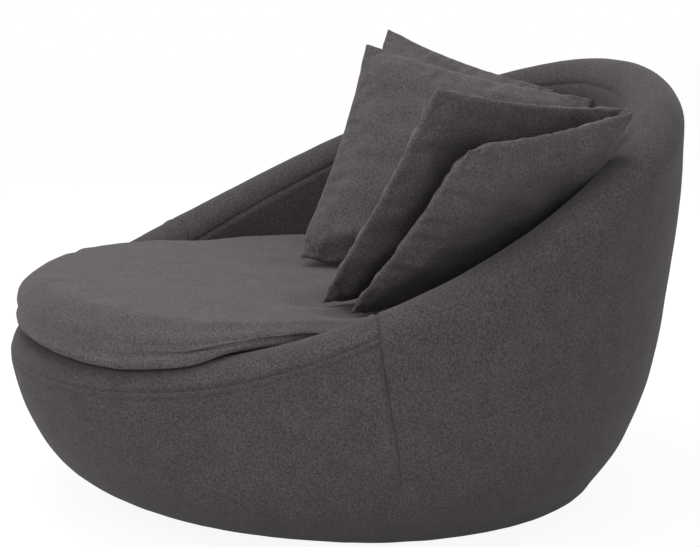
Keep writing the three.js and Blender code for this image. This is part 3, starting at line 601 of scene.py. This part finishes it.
def stitch_row(name, path, body):
    """path is a list of (point, normal); the stitches lie along it."""
    bm = bmesh.new()
    count, carried = 0, 0.0
    for (start, out), (end, _) in zip(path, path[1:]):
        carried += (end - start).length
        if carried < stitch_length + stitch_gap:
            continue
        carried = 0.0
        along = (end - start).normalized()
        side = along.cross(out).normalized()
        turn = Matrix((side, out.normalized(), along)).transposed().to_4x4()
        seat = Matrix.Translation(start + out.normalized() * thread_radius * 0.4) @ turn
        bmesh.ops.create_cone(bm, cap_ends=True, segments=5, radius1=thread_radius,
                              radius2=thread_radius, depth=stitch_length, matrix=seat)
        count += 1
    made = new_object(name, bm)
    made.data.materials.append(thread)
    made.data.polygons.foreach_set("use_smooth", [True] * len(made.data.polygons))
    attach(made, body)
    print(name, count, "stitches")


def bowl_path(places):
    """Points on the finished cloth, with the way that the cloth faces there."""
    return [(cloth_point(angle, height), section_normal(angle, height)) for angle, height in places]


path_steps, path_step, row_share = 1400, 0.0004, 0.972
upper_row, side_row, side_start, side_steps = 0.0040, 0.0050, 0.006, 650
seam_angles = [side_seam * (k / path_steps - 1) * row_share for k in range(2 * path_steps + 1)]
stitch_row("band_stitches_upper", bowl_path([(a, band_seam(a) - upper_row) for a in seam_angles]), "bowl")
stitch_row("band_stitches_lower", bowl_path([(a, band_seam(a) - row_spacing) for a in seam_angles]), "bowl")
for side in (1, -1):
    top = band_seam(side_seam) - side_start
    heights = [top - k * path_step for k in range(side_steps)]
    places = [(side * (side_seam_at(h) - side_row / belly_radius), h) for h in heights]
    stitch_row("side_stitches_" + ("left" if side > 0 else "right"), bowl_path(places), "bowl")

# %% [markdown]
# Cushions. Each is what it is in the workshop: two panels of cloth sewn together round the edge
# and filled until they are tight. So each starts as two flat sheets joined at their edge, takes
# its rough form, and is then blown up by the cloth solver with a little more cloth than the form
# needs. The spare cloth goes into small folds next to the seam, as it does on the real one.

# %% Two sheets sewn together
def sewn_sheets(cells):
    bm = bmesh.new()
    bmesh.ops.create_grid(bm, x_segments=cells, y_segments=cells, size=1.0)
    side = bm.verts.layers.float.new("side")
    for knot in bm.verts:
        knot[side] = 1.0
    copy = bmesh.ops.duplicate(bm, geom=bm.faces[:])
    lower = [part for part in copy["geom"] if isinstance(part, bmesh.types.BMFace)]
    bmesh.ops.reverse_faces(bm, faces=lower)
    for face in lower:
        for knot in face.verts:
            knot[side] = -1.0
    for knot in bm.verts:
        if max(abs(knot.co.x), abs(knot.co.y)) > 0.9999:
            knot[side] = 0.0
    rim = [knot for knot in bm.verts if knot[side] == 0.0]
    bmesh.ops.remove_doubles(bm, verts=rim, dist=0.0001)
    bm.verts.index_update()
    return bm, side


# %% [markdown]
# The solver knows nothing of filling, so the cushion is blown up by air instead: pressure inside,
# no gravity, and cloth that is a little larger than its form. The stiff seam is pinned. A few
# frames are enough, and a cap on how far a knot may move keeps the cushion in its place.

# %% The cloth solver's settings
def add_solver(cushion, pressure, spare_cloth, stiffness, bending):
    solver = cushion.modifiers.new("filling", "CLOTH")
    setting = solver.settings
    setting.quality = 6
    setting.mass = 0.25
    setting.air_damping = 4.0
    setting.tension_stiffness = setting.compression_stiffness = stiffness
    setting.shear_stiffness = stiffness / 3
    setting.bending_stiffness = bending
    setting.use_pressure = True
    setting.uniform_pressure_force = pressure
    setting.shrink_min = -spare_cloth
    setting.effector_weights.gravity = 0.0
    solver.collision_settings.use_collision = False
    return solver


# %% Blowing a cushion up
def blow_up(cushion, held, pressure, spare_cloth, frames, cap, stiffness, bending):
    """Runs the cloth solver on the mesh, lets no point move further than cap, and keeps the result."""
    before = [knot.co.copy() for knot in cushion.data.vertices]
    solver = add_solver(cushion, pressure, spare_cloth, stiffness, bending)
    cushion.vertex_groups.new(name="held").add(held, 1.0, "REPLACE")
    solver.settings.vertex_group_mass = "held"
    solver.settings.pin_stiffness = 1.0
    solver.point_cache.frame_start, solver.point_cache.frame_end = 1, frames
    for number in range(1, frames + 1):
        scene.frame_set(number)
    shaped = cushion.evaluated_get(bpy.context.evaluated_depsgraph_get()).to_mesh()
    after = [knot.co.copy() for knot in shaped.vertices]
    cushion.evaluated_get(bpy.context.evaluated_depsgraph_get()).to_mesh_clear()
    cushion.modifiers.remove(solver)
    scene.frame_set(1)
    for knot, old, new in zip(cushion.data.vertices, before, after):
        step = new - old
        if step.length > cap:
            step = step.normalized() * cap
        knot.co = old + step
    moved = max((new - old).length for old, new in zip(before, after))
    print(cushion.name, "blown up, furthest point moved", round(moved, 4))


# %% [markdown]
# The seat cushion is one round panel above and one below, with a single seam round the side. At
# the front it lies over the rim and its lower half hangs in front of it; from the sides back it is
# squeezed inside the wall. The rough form follows that plan: the seam runs level along the front
# and climbs with the rim where the cushion lies on it.

# %% The seat cushion's plan
seat_front, seat_arc, wall_gap, squeeze = 0.6641, 0.583, 0.014, 0.120
shoulder, front_rise, back_fall, seat_skirt, deck_top = 0.431, 0.012, 0.015, 0.320, 0.331
rounding, undercut, drape = 0.048, 0.070, 0.013
least_seam, seam_share, least_rise = 0.374, 0.28, 0.012
top_fullness, under_fullness, hair = 1.84, 2.4, 0.0004
squeeze_start, squeeze_span = 36, 36


def wall_limit(angle):
    return min(reach(angle, deck_top), reach(angle, shoulder)) - wall_thickness - wall_gap


def turn_from_front(angle):
    return math.acos(math.cos(angle))


def seat_reach(angle):
    turn = turn_from_front(angle)
    if turn > math.pi / 2:
        return wall_limit(angle)
    centre = seat_front - seat_arc
    arc = centre * math.cos(turn) + math.sqrt(seat_arc ** 2 - (centre * math.sin(turn)) ** 2)
    held = smooth((math.degrees(turn) - squeeze_start) / squeeze_span)
    return min(arc, wall_limit(angle) + squeeze * (1 - held))


def support_height(angle, distance, clearance=0.0025):
    """Height of what lies under the cushion: the deck, then the roll of the rim, then nothing."""
    base = crest(angle) - roll_radius
    across = distance - (reach(angle, base) - roll_radius)
    low = deck_top if across < 0 else 0.0
    radius = roll_radius + clearance
    if abs(across) >= radius:
        return low
    return max(low, base + math.sqrt(radius ** 2 - across ** 2))


# %% [markdown]
# The section says how high the cushion is at each distance from its middle. The top is nearly flat
# and rounds over to the seam. The underside rounds back from the seam, and lies on the deck behind
# and on the rim in front, so it never comes lower than what carries it.

# %% The seat cushion's section
def seat_top(angle, distance):
    out = (distance / seat_reach(angle)) ** 2
    front = ((1 + math.cos(angle)) / 2) ** 2
    return shoulder + front_rise * front * out - back_fall * (1 - front) * out ** 2


def seat_seam_height(angle):
    edge = seat_reach(angle)
    support = support_height(angle, edge, drape)
    return max(least_seam, support + (seat_top(angle, edge) - support) * seam_share)


def bulge(inset, width, fullness):
    return (1 - (1 - min(1.0, inset / width)) ** fullness) ** (1 / fullness)


def seat_form(angle, share, upper):
    """A point of the rough form; share is 0 in the middle and 1 at the seam."""
    edge = seat_reach(angle)
    seam = seat_seam_height(angle)
    distance = edge * share
    if upper:
        top = max(seat_top(angle, distance), seam + least_rise)
        return polar(angle, distance, seam + (top - seam) * bulge(edge - distance, rounding, top_fullness))
    low = deck_top if turn_from_front(angle) > math.pi / 2 else seat_skirt
    width = edge - wall_limit(angle) + undercut
    soft = seam - (seam - low) * bulge(edge - distance, width, under_fullness)
    return polar(angle, distance, min(seam, max(soft, support_height(angle, distance) + hair)))


print("seat cushion reaches", round(seat_reach(0), 3), "in front,", round(seat_reach(math.pi), 3), "behind")

# %% [markdown]
# Two square grids are pressed into rounds, so that no cell shrinks to a point in the middle, and
# set on the rough form. The solver then swells the top a little. The seam and the part that lies
# on the deck are held, as the stiff seam and the cushion's own weight hold them.

# %% The seat cushion, from two round sheets
seat_cells, seat_crowding, under_inset = 110, 1.45, 0.09
# The seat's seam gets a band of painted sheen. The first number is its strength; the others turn the share
# into a distance and give the band's width.
seat_edge_sheen, edge_unit, edge_width = 0.7, 0.6, 0.004
seat_pressure, seat_spare, seat_frames, seat_cap = 4.0, 0.006, 10, 0.004
bm, side = sewn_sheets(seat_cells)
edge_sheen_layer = bm.verts.layers.float.new("edge")
held, places = [], []
for knot in bm.verts:
    x, y = knot.co.x, knot.co.y
    across, along = x * math.sqrt(1 - y * y / 2), y * math.sqrt(1 - x * x / 2)
    share = 1 - (1 - min(1.0, math.hypot(across, along))) ** seat_crowding
    angle = math.atan2(across, -along)
    places.append((angle, share, knot[side]))
    # Painted sheen along the seam, which the cloth reads as the edge attribute.
    knot[edge_sheen_layer] = seat_edge_sheen * bump_at((1 - share) * edge_unit, edge_width)
    knot.co = seat_form(angle, share, knot[side] >= 0)
    rests = knot[side] < 0 and (1 - share) * seat_reach(angle) > under_inset
    if knot[side] == 0.0 or rests:
        held.append(knot.index)
seat_cushion = new_object("seat_cushion", bm)
blow_up(seat_cushion, held, seat_pressure, seat_spare, seat_frames, seat_cap, stiffness=9.0, bending=1.0)
print("seat cushion knots", len(places))

# %% [markdown]
# The scatter cushions are square, pointed at the corners and drawn in along the sides, because
# the cloth that the filling lifts in the middle is pulled in from the edges. They start as a
# square form, are blown up, and are then set to their own measures. Leaned on and knocked about,
# none of them stays square: each corner is pulled or pushed a little out of place.

# %% One scatter cushion in its own plane
scatter_side, scatter_cells, draw_in = 0.475, 66, 0.014
half_side = scatter_side / 2
gathered, swell_power, first_fill, seam_ridge = 0.35, 0.41, 0.92, 0.001
corner_start, corner_span = 1.66, 0.34
stances = {
    1: dict(place=(-0.0312, 0.24687), yaw=57.5, lean=38, roll=-8.4, front=0.056, back=0.043,
            pulls=((-0.022, 0.088), (0.064, -0.040), (-0.060, -0.080), (-0.004, 0.036)),
            rounded=(0.0, 0.002, 0.014, 0.010), pressed=0.012),
    2: dict(place=(-0.27508, 0.27885), yaw=37, lean=38.9, roll=-15, front=0.043, back=0.043,
            pulls=((-0.014, 0.030), (0.020, -0.020), (0.240, 0.060), (-0.004, 0.010)),
            rounded=(0.0, 0.002, 0.010, 0.010), pressed=0.010),
    3: dict(place=(0.36205, 0.10329), yaw=105.1, lean=-36.7, roll=-3.1, front=0.035, back=0.056,
            pulls=((-0.024, 0.060), (0.040, -0.050), (0.000, -0.056), (0.004, 0.030)),
            rounded=(0.002, 0.002, 0.013, 0.010), pressed=0.020),
    4: dict(place=(0.4472, 0.10478), yaw=110.3, lean=-40.2, roll=1.1, front=0.043, back=0.035,
            pulls=((0.070, -0.085), (-0.060, 0.000), (0.010, 0.002), (0, 0.030)),
            rounded=(0.010, 0.002, 0.013, 0.010), pressed=0.020),
}


def pulled(u, v, pulls):
    """How far the pulled corners shift a point of the cushion's plane."""
    weights = ((1 - u) * (1 + v), (1 + u) * (1 + v), (1 - u) * (1 - v), (1 + u) * (1 - v))
    shift = Vector((0, 0, 0))
    for weight, (aside, upwards) in zip(weights, pulls):
        shift += Vector((aside, upwards, 0)) * weight / 4 * scatter_side
    return shift


def softened(u, v, rounded):
    """How far a corner is rounded off: top left, top right, bottom left, bottom right."""
    near = smooth((abs(u) + abs(v) - corner_start) / corner_span)
    amount = rounded[(0 if v > 0 else 2) + (1 if u > 0 else 0)] * near
    return Vector((-math.copysign(amount, u), -math.copysign(amount, v), 0))


def edge_knots(share):
    """Gathers the grid's knots towards the edges, where the small folds are."""
    return math.sin(math.pi / 2 * share) * gathered + share * (1 - gathered)


def scatter_form(u, v, which, front, back):
    x = u * (half_side - draw_in * (1 - v * v))
    y = v * (half_side - draw_in * (1 - u * u))
    swell = ((1 - u * u) * (1 - v * v)) ** swell_power if max(abs(u), abs(v)) < 1 else 0.0
    depth = front if which > 0 else back
    return Vector((x, y, which * (seam_ridge + first_fill * depth * swell)))


def stance_matrix(stance):
    yaw, lean = math.radians(stance["yaw"]), math.radians(stance["lean"])
    width = Vector((math.cos(yaw), math.sin(yaw), 0))
    forwards = Vector((math.sin(yaw), -math.cos(yaw), 0))
    upwards = Vector((0, 0, math.cos(lean))) - forwards * math.sin(lean)
    basis = Matrix((width, upwards, width.cross(upwards))).transposed().to_4x4()
    return basis @ Matrix.Rotation(math.radians(stance["roll"]), 4, "Z")


# %% [markdown]
# A scatter cushion stands on the seat on its lower edge and sinks in by a centimetre or two, and
# the seat gives way under it. So it is settled by its lowest corner, and each lower edge presses a
# soft dent into the seat, deepest where the edge stands lowest.

# %% Where a scatter cushion's lower edge stands, and the dent that it presses into the seat
dent_ease, dent_reach, dent_width = 0.004, 0.070, 0.060


def settled_at(number):
    """Where the middle of a scatter cushion goes, so that its lowest corner is pressed in."""
    stance = stances[number]
    turn = stance_matrix(stance)
    tips = [turn @ (scatter_form(u, v, 1, 0, 0) + pulled(u, v, stance["pulls"]))
            for u in (-1, 1) for v in (-1, 1)]
    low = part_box("scatter_cover_%d" % number)[0]
    lowest = min(tip.z for tip in tips)
    middle = Vector((*stance["place"], low[2] - lowest - stance["pressed"]))
    return middle, (tips[0] + middle, tips[2] + middle)


def dent_depth(x, y):
    deepest = 0.0
    for stance, (start, end) in zip(stances.values(), lower_edges):
        along = Vector((end.x - start.x, end.y - start.y))
        share = (Vector((x - start.x, y - start.y)).dot(along)) / along.length_squared
        share = min(1.0, max(0.0, share))
        aside = math.hypot(start.x + along.x * share - x, start.y + along.y * share - y)
        height = start.z + (end.z - start.z) * share
        press = smooth(1 - (height - min(start.z, end.z)) / dent_reach)
        deepest = max(deepest, (stance["pressed"] - dent_ease) * press * bump_at(aside, dent_width))
    return deepest


lower_edges = [settled_at(number)[1] for number in stances]
print("lower edges", [[tuple(round(c, 3) for c in tip) for tip in edge] for edge in lower_edges])

# %% [markdown]
# The seam of a filled cushion is a narrow groove between two full edges. So its knots are drawn in
# and those beside it pushed out. Soft folds start there, and the flat of the cloth is a little
# slack. Then the dents go in, and whatever came too near the rim or the wall is put back.

# %% Draw the seam in, crease the cloth beside it, and keep the cushion off the rim and the wall
fine_height, fine_pitch, fine_length, fine_fade = 0.0007, 0.022, 0.06, 0.030
broad_height, broad_pitch, broad_length, broad_place, broad_fade = 0.0016, 0.075, 0.11, 0.04, 0.070
seam_draw, edge_push, edge_place = 0.0060, 0.0085, 0.009
least_thickness, wall_clearance, wall_start = 0.020, 0.0065, 58
seat_slack, slack_length, slack_start, dent_start, rim_hair = 0.0022, 0.20, 0.06, 0.060, 0.0005
mean_reach = 0.6


def seat_creases(angle, inset, upper):
    """Soft folds that start at the seam and die out over the edge."""
    along = angle * mean_reach
    fine = noise.noise(Vector((along / fine_pitch, inset / fine_length, 4.0 if upper else 8.0)))
    broad = noise.noise(Vector((along / broad_pitch, inset / broad_length, 14.0 if upper else 18.0)))
    fine_folds = fine_height * fine * bump_at(inset, fine_fade)
    return fine_folds + broad_height * broad * bump_at(inset - broad_place, broad_fade)


normals = [knot.normal.copy() for knot in seat_cushion.data.vertices]
for knot, normal, (angle, share, which) in zip(seat_cushion.data.vertices, normals, places):
    inset = (1 - share) * seat_reach(angle)
    slack = seat_slack * noise.noise(knot.co / slack_length) * smooth(inset / slack_start)
    if which:
        knot.co += normal * (seat_creases(angle, inset, which > 0) + slack)
        knot.co += polar(angle, edge_push * bump_at(inset - edge_place, edge_place), 0)
        if which > 0:
            pressed = knot.co.z - dent_depth(knot.co.x, knot.co.y) * smooth(inset / dent_start)
            least = support_height(angle, share * seat_reach(angle)) + least_thickness
            knot.co.z = min(knot.co.z, max(pressed, least))
    else:
        knot.co -= polar(angle, seam_draw, 0)
    flat = math.hypot(knot.co.x, knot.co.y)
    around = math.atan2(knot.co.x, -knot.co.y)
    if which <= 0:
        knot.co.z = max(knot.co.z, support_height(around, flat) + rim_hair)
    inner = reach(around, max(deck_top, knot.co.z)) - wall_thickness - wall_clearance
    beside_wall = turn_from_front(around) > math.radians(wall_start)
    if beside_wall and flat > inner and knot.co.z < crest(around) - roll_radius:
        knot.co.x *= inner / flat
        knot.co.y *= inner / flat

# %% [markdown]
# Inside every cover is its filling, a bag of the same form a few millimetres smaller. It is what
# one sees when a zip is opened. It is made from the cover's own finished mesh, drawn inwards.

# %% The seat cushion's foam
foam_share, foam_inset, foam_depth, foam_lift, filling_fill = 0.86, 0.010, 0.005, 0.003, 0.9
foam_taper, nearly_nothing = 0.060, 1e-6


def cushion_filling(name, cushion, places, inner_point, finish, body, node):
    mesh = cushion.data.copy()
    mesh.materials.clear()
    for knot, place in zip(mesh.vertices, places):
        knot.co = inner_point(knot.co.copy(), place)
    filling = new_object(name, mesh)
    mesh.materials.append(finish)
    mesh.polygons.foreach_set("use_smooth", [True] * len(mesh.polygons))
    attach(filling, body)
    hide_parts(node)


def seat_foam_point(point, place):
    angle, share, which = place
    seam = seat_seam_height(angle)
    distance = math.hypot(point.x, point.y)
    edge = seat_reach(angle)
    inner = distance - foam_inset * smooth(1 - (edge - distance) / foam_taper)
    point.x *= inner / max(distance, nearly_nothing)
    point.y *= inner / max(distance, nearly_nothing)
    thinner = seam + (point.z - seam) * foam_share
    if which > 0:
        point.z = min(thinner, point.z - foam_depth)
    elif which < 0:
        point.z = max(thinner, support_height(angle, inner) + foam_lift)
    else:
        point.z = thinner
    return point


# %% [markdown]
# The finishes of the pieces that hardly show: birch plywood with its grain, open foam, white
# wadding and fibre, black elastic webbing, moulded glides, the thin black lining under the base,
# and the coil zips.

# %% Finishes of the hidden pieces
def grained(name, dark, light, scale, stretch, roughness, relief=0.0003):
    finish = bpy.data.materials.new(name)
    finish.use_nodes = True
    tree = finish.node_tree
    bsdf = tree.nodes["Principled BSDF"]
    bsdf.inputs["Roughness"].default_value = roughness
    place = add(tree, "ShaderNodeTexCoord")
    turned = add(tree, "ShaderNodeMapping", {"Scale": stretch}, Vector=place.outputs["Object"])
    grain = add(tree, "ShaderNodeTexNoise", {"Scale": scale, "Detail": 4.0, "Roughness": 0.6},
                Vector=turned.outputs[0])
    tone = add(tree, "ShaderNodeMix", {"data_type": "RGBA", 6: colour(dark), 7: colour(light)},
               Factor=grain.outputs[0])
    bumps = add(tree, "ShaderNodeBump", {"Strength": 0.4, "Distance": relief}, Height=grain.outputs[0])
    tree.links.new(tone.outputs[2], bsdf.inputs["Base Color"])
    tree.links.new(bumps.outputs[0], bsdf.inputs["Normal"])
    return finish


hidden_finishes = {
    "plywood": grained("sanded_birch_plywood", "#b98f5f", "#dcb988", 40.0, (1, 6, 6), 0.6),
    "foam": grained("open_cell_foam", "#c9bd92", "#e2d8b4", 900.0, (1, 1, 1), 0.95, 0.0006),
    "wadding": grained("bonded_polyester_wadding", "#d9d7d0", "#f2f1ec", 120.0, (1, 1, 1), 0.95, 0.002),
    "filling": grained("hollow_fibre_filling", "#dcdad4", "#f4f3ef", 90.0, (1, 1, 1), 0.95, 0.003),
    "webbing": grained("elastic_webbing", "#222225", "#38383c", 700.0, (1, 1, 1), 0.8, 0.0005),
    "glide": grained("moulded_nylon_glide", "#19191b", "#242427", 500.0, (1, 1, 1), 0.45, 0.0001),
    "lining": grained("spun_black_lining", "#1c1b1d", "#2b2a2c", 600.0, (1, 1, 1), 0.95, 0.0003),
    "zip": grained("nylon_coil_zip", "#2a2728", "#3a3637", 800.0, (1, 1, 1), 0.5, 0.0003),
    "fabric": charcoal,
}

# %% [markdown]
# The cover gets its cloth last, after the foam was taken from its mesh. A subdivision rounds off
# the cells of the sheet, since sewn cloth over foam has no facets.

# %% Finish the seat cushion
def finish_cushion(cushion, body, node):
    cushion.data.polygons.foreach_set("use_smooth", [True] * len(cushion.data.polygons))
    # The cushions take the lighter copy of the cloth, which is painted light.
    cushion.data.materials.append(cushion_cloth_painted_lighter)
    finer = cushion.modifiers.new("smooth_cloth", "SUBSURF")
    finer.levels = finer.render_levels = 1
    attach(cushion, body)
    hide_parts(node)


cushion_filling("seat_foam", seat_cushion, places, seat_foam_point, hidden_finishes["foam"],
                "seat_cushion", "seat_cushion_core")
finish_cushion(seat_cushion, "seat_cushion", "seat_cushion_cover")

# %% [markdown]
# A coil zip is a tape with a spiral of nylon down its middle, and a slider with a small pull.
# Closed, it shows as a narrow dark ribbed line in the seam. The tape here is a narrow strip that
# follows the seam, the spiral is one short tooth repeated along it, and the pull lies at one end.

# %% A zip along a path of (point, outwards, upwards)
tape_width, tooth_pitch, tooth_size = 0.0052, 0.0022, (0.0011, 0.0026, 0.0010)
tape_lift, tooth_lift = 0.0003, 0.0007
pull_pieces = ((0.008, 0.005, 0.0022, 0.0016, 0.0), (0.016, 0.0036, 0.0009, 0.0030, 0.010))


def coil_zip(name, path, body, node):
    bm = bmesh.new()
    bmesh.ops.create_grid(bm, x_segments=len(path) - 1, y_segments=2, size=0.5)
    last = len(path) - 1
    for knot in bm.verts:
        point, out, up = path[round((knot.co.x + 0.5) * last)]
        knot.co = point + up * knot.co.y * tape_width + out * tape_lift
    spine = [point for point, _, _ in path]
    length = sum((b - a).length for a, b in zip(spine, spine[1:]))
    walked, due = 0.0, 0.0
    for (a, out, up), (b, _, _) in zip(path, path[1:]):
        step = (b - a).length
        while due <= walked + step:
            along = (b - a).normalized()
            spot = a + along * (due - walked) + out * tooth_lift
            turn = Matrix((along, up, out)).transposed().to_4x4()
            size = Matrix.Diagonal((*tooth_size, 1.0))
            bmesh.ops.create_cube(bm, size=1.0, matrix=Matrix.Translation(spot) @ turn @ size)
            due += tooth_pitch
        walked += step
    a, out, up = path[2]
    along = (path[3][0] - a).normalized()
    turn = Matrix((along, up, out)).transposed().to_4x4()
    for long, wide, thick, lift, ahead in pull_pieces:
        size = Matrix.Diagonal((long, wide, thick, 1.0))
        spot = a + out * lift + along * ahead
        bmesh.ops.create_cube(bm, size=1.0, matrix=Matrix.Translation(spot) @ turn @ size)
    bmesh.ops.recalc_face_normals(bm, faces=bm.faces[:])
    made = new_object(name, bm)
    made.data.materials.append(hidden_finishes["zip"])
    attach(made, body)
    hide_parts(node)
    print(name, round(length, 3), "m long")


zip_turn, zip_sunk, zip_steps = math.radians(34.5), 0.0018, 60
zip_path = []
for k in range(2 * zip_steps + 1):
    angle = math.pi + zip_turn * (k / zip_steps - 1)
    spot = polar(angle, seat_reach(angle) - zip_sunk, seat_seam_height(angle))
    zip_path.append((spot, polar(angle, 1, 0), Vector((0, 0, 1))))
coil_zip("seat_cushion_coil_zip", zip_path, "seat_cushion", "seat_cushion_zip")

# %% [markdown]
# A loosely filled cushion is never smooth. The seams gather the cloth, so short folds start at
# them, and the filling shifts, which leaves a few broad hollows across the face. Both come from
# noise that is drawn out in one direction, with a seed of its own for each cushion.

# %% Folds in a scatter cushion's cloth
fold_height, fold_pitch, fold_length, fold_place, fold_fade = 0.0042, 0.013, 0.070, 0.012, 0.036
broad_hollow, crossing_hollow, flat_edge = 0.0070, 0.0055, 0.2


def scatter_folds(u, v, which, seed):
    """Small folds that start at the seams, and a few broad ones across the face."""
    folds = 0.0
    for along, inset in ((v, 1 - abs(u)), (u, 1 - abs(v))):
        inset *= half_side
        start = math.copysign(1, u) if along is v else math.copysign(2, v)
        near = noise.noise(Vector((along * half_side / fold_pitch, inset / fold_length,
                                   seed + start + 3 * which)))
        folds += fold_height * near * bump_at(inset - fold_place, fold_fade)
    broad = noise.noise(Vector((u * 2.6 + v * 1.4, v * 3.4 - u * 1.2, seed + 40 + which)))
    crossing = noise.noise(Vector((u * 1.5 - v * 0.8, v * 7.0 + u * 1.0, seed + 60 + which)))
    inside = smooth((1 - abs(u)) / flat_edge) * smooth((1 - abs(v)) / flat_edge)
    return folds + inside * (broad_hollow * broad + crossing_hollow * crossing)


# %% [markdown]
# Each scatter cushion is sewn and blown up flat, where its measures are easy to check. The form is
# a little uneven from the start, as cut and filled by hand. The seam is pinned, and a good deal of
# spare cloth lets the faces wrinkle.

# %% A scatter cushion, sewn and blown up in its own plane
scatter_pressure, scatter_spare, scatter_frames, scatter_cap = 6.0, 0.035, 14, 0.012
uneven, scatter_sheen_width = 0.0020, 0.0042


def flat_scatter(number, stance):
    """Returns the cushion, and for each knot its place in the square and its side."""
    bm, side = sewn_sheets(scatter_cells)
    edge_sheen_layer = bm.verts.layers.float.new("edge")
    knots = []
    for knot in bm.verts:
        u, v, which = edge_knots(knot.co.x), edge_knots(knot.co.y), knot[side]
        knots.append((u, v, which))
        knot.co = scatter_form(u, v, which, stance["front"], stance["back"])
        knot.co += Vector((0, 0, uneven * noise.noise(Vector((u * 3, v * 3, number * 7.3 + which)))))
        # Painted sheen along the seam, which the cloth reads as the edge attribute.
        knot[edge_sheen_layer] = bump_at((1 - max(abs(u), abs(v))) * half_side, scatter_sheen_width)
    held = [index for index, (_, _, which) in enumerate(knots) if which == 0.0]
    cushion = new_object("scatter_cushion_%d" % number, bm)
    blow_up(cushion, held, scatter_pressure, scatter_spare, scatter_frames, scatter_cap,
            stiffness=14.0, bending=0.3)
    return cushion, knots


# %% [markdown]
# How far the solver swells a side depends on all its settings, so each side is then scaled to the
# fullness that this cushion has. After that come the folds, the pulled corners and the turn into
# its stance. The bag of filling is worked out beside it: smaller all round, and thin towards the
# seam and the corners, which fibre never quite fills.

# %% Give it its measures and folds, and turn it into its stance
bag_share, bag_inset, bag_skin = 0.91, 0.0055, 0.012
bag_edge, bag_corner_start, bag_corner_span, bag_corner_share = 0.10, 1.35, 0.45, 0.8


def bag_point(local, u, v, which):
    height = local.z - which * bag_inset * smooth(abs(local.z) / bag_skin)
    corner = smooth((abs(u) + abs(v) - bag_corner_start) / bag_corner_span)
    height *= smooth((1 - max(abs(u), abs(v))) / bag_edge) * (1 - bag_corner_share * corner)
    return Vector((local.x * bag_share, local.y * bag_share, height))


def shape_scatter(cushion, number, stance, knots):
    """Shapes the cushion and returns the points of its filling."""
    tallest = max(knot.co.z for knot in cushion.data.vertices)
    deepest = -min(knot.co.z for knot in cushion.data.vertices)
    print(cushion.name, "swell", round(tallest, 4), round(deepest, 4))
    turn, pulls = stance_matrix(stance), stance["pulls"]
    filling = []
    for knot, (u, v, which) in zip(cushion.data.vertices, knots):
        local = knot.co.copy()
        local.z *= stance["front"] / tallest if local.z > 0 else stance["back"] / deepest
        local.z += which * scatter_folds(u, v, which, number * 11.0)
        round_off = softened(u, v, stance["rounded"])
        bag = bag_point(local, u, v, which) + pulled(u * bag_share, v * bag_share, pulls)
        knot.co = turn @ (local + (pulled(u, v, pulls) + round_off))
        filling.append(turn @ (bag + round_off))
    return filling


# %% [markdown]
# Set down, a lower edge would sink through the dented seat in places. There it lies on the seat's
# surface instead, a hair above it, and takes its filling up with it.

# %% Set it down on the seat
seat_hair = 0.0012
seat_surface = BVHTree.FromPolygons([knot.co for knot in seat_cushion.data.vertices],
                                    [face.vertices for face in seat_cushion.data.polygons])


def set_down(cushion, settle, filling):
    for index, knot in enumerate(cushion.data.vertices):
        knot.co += settle
        hit = seat_surface.ray_cast(Vector((knot.co.x, knot.co.y, 1.0)), Vector((0, 0, -1)))[0]
        if hit and knot.co.z < hit.z + seat_hair:
            filling[index].z += hit.z + seat_hair - knot.co.z
            knot.co.z = hit.z + seat_hair


# %% The zip in its lower seam
zip_share, half_zip_steps, zip_proud = 0.5704, 40, 0.0004


def scatter_zip_path(stance, settle):
    turn = stance_matrix(stance)
    face = Vector((turn @ Vector((0, 0, 1, 0)))[:3])
    under = Vector((turn @ Vector((0, -1, 0, 0)))[:3])
    path = []
    for k in range(2 * half_zip_steps + 1):
        u = zip_share * (k / half_zip_steps - 1)
        edge = scatter_form(u, -1, 1, 0, 0) + pulled(u, -1, stance["pulls"])
        edge.z = 0.0
        path.append((turn @ edge + settle + under * zip_proud, under, face))
    return path


# %% The four scatter cushions
for number, stance in stances.items():
    cushion, knots = flat_scatter(number, stance)
    filling = shape_scatter(cushion, number, stance, knots)
    settle = settled_at(number)[0]
    set_down(cushion, settle, filling)
    body = "scatter_cushion_%d" % number
    cushion_filling("scatter_filling_%d" % number, cushion, filling, lambda point, place: place + settle,
                    hidden_finishes["filling"], body, "scatter_pad_%d" % number)
    finish_cushion(cushion, body, "scatter_cover_%d" % number)
    coil_zip("scatter_coil_zip_%d" % number, scatter_zip_path(stance, settle), body,
             "scatter_zip_%d" % number)

# %% [markdown]
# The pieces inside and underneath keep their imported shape, and each gets the finish of what it is.

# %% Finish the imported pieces
for part in frame["record"]["subparts"]:
    finish = hidden_finishes[part["material_slot"]]
    mesh = nodes[part["node"]].data
    if len(mesh.materials):
        mesh.materials[0] = finish
    else:
        mesh.materials.append(finish)
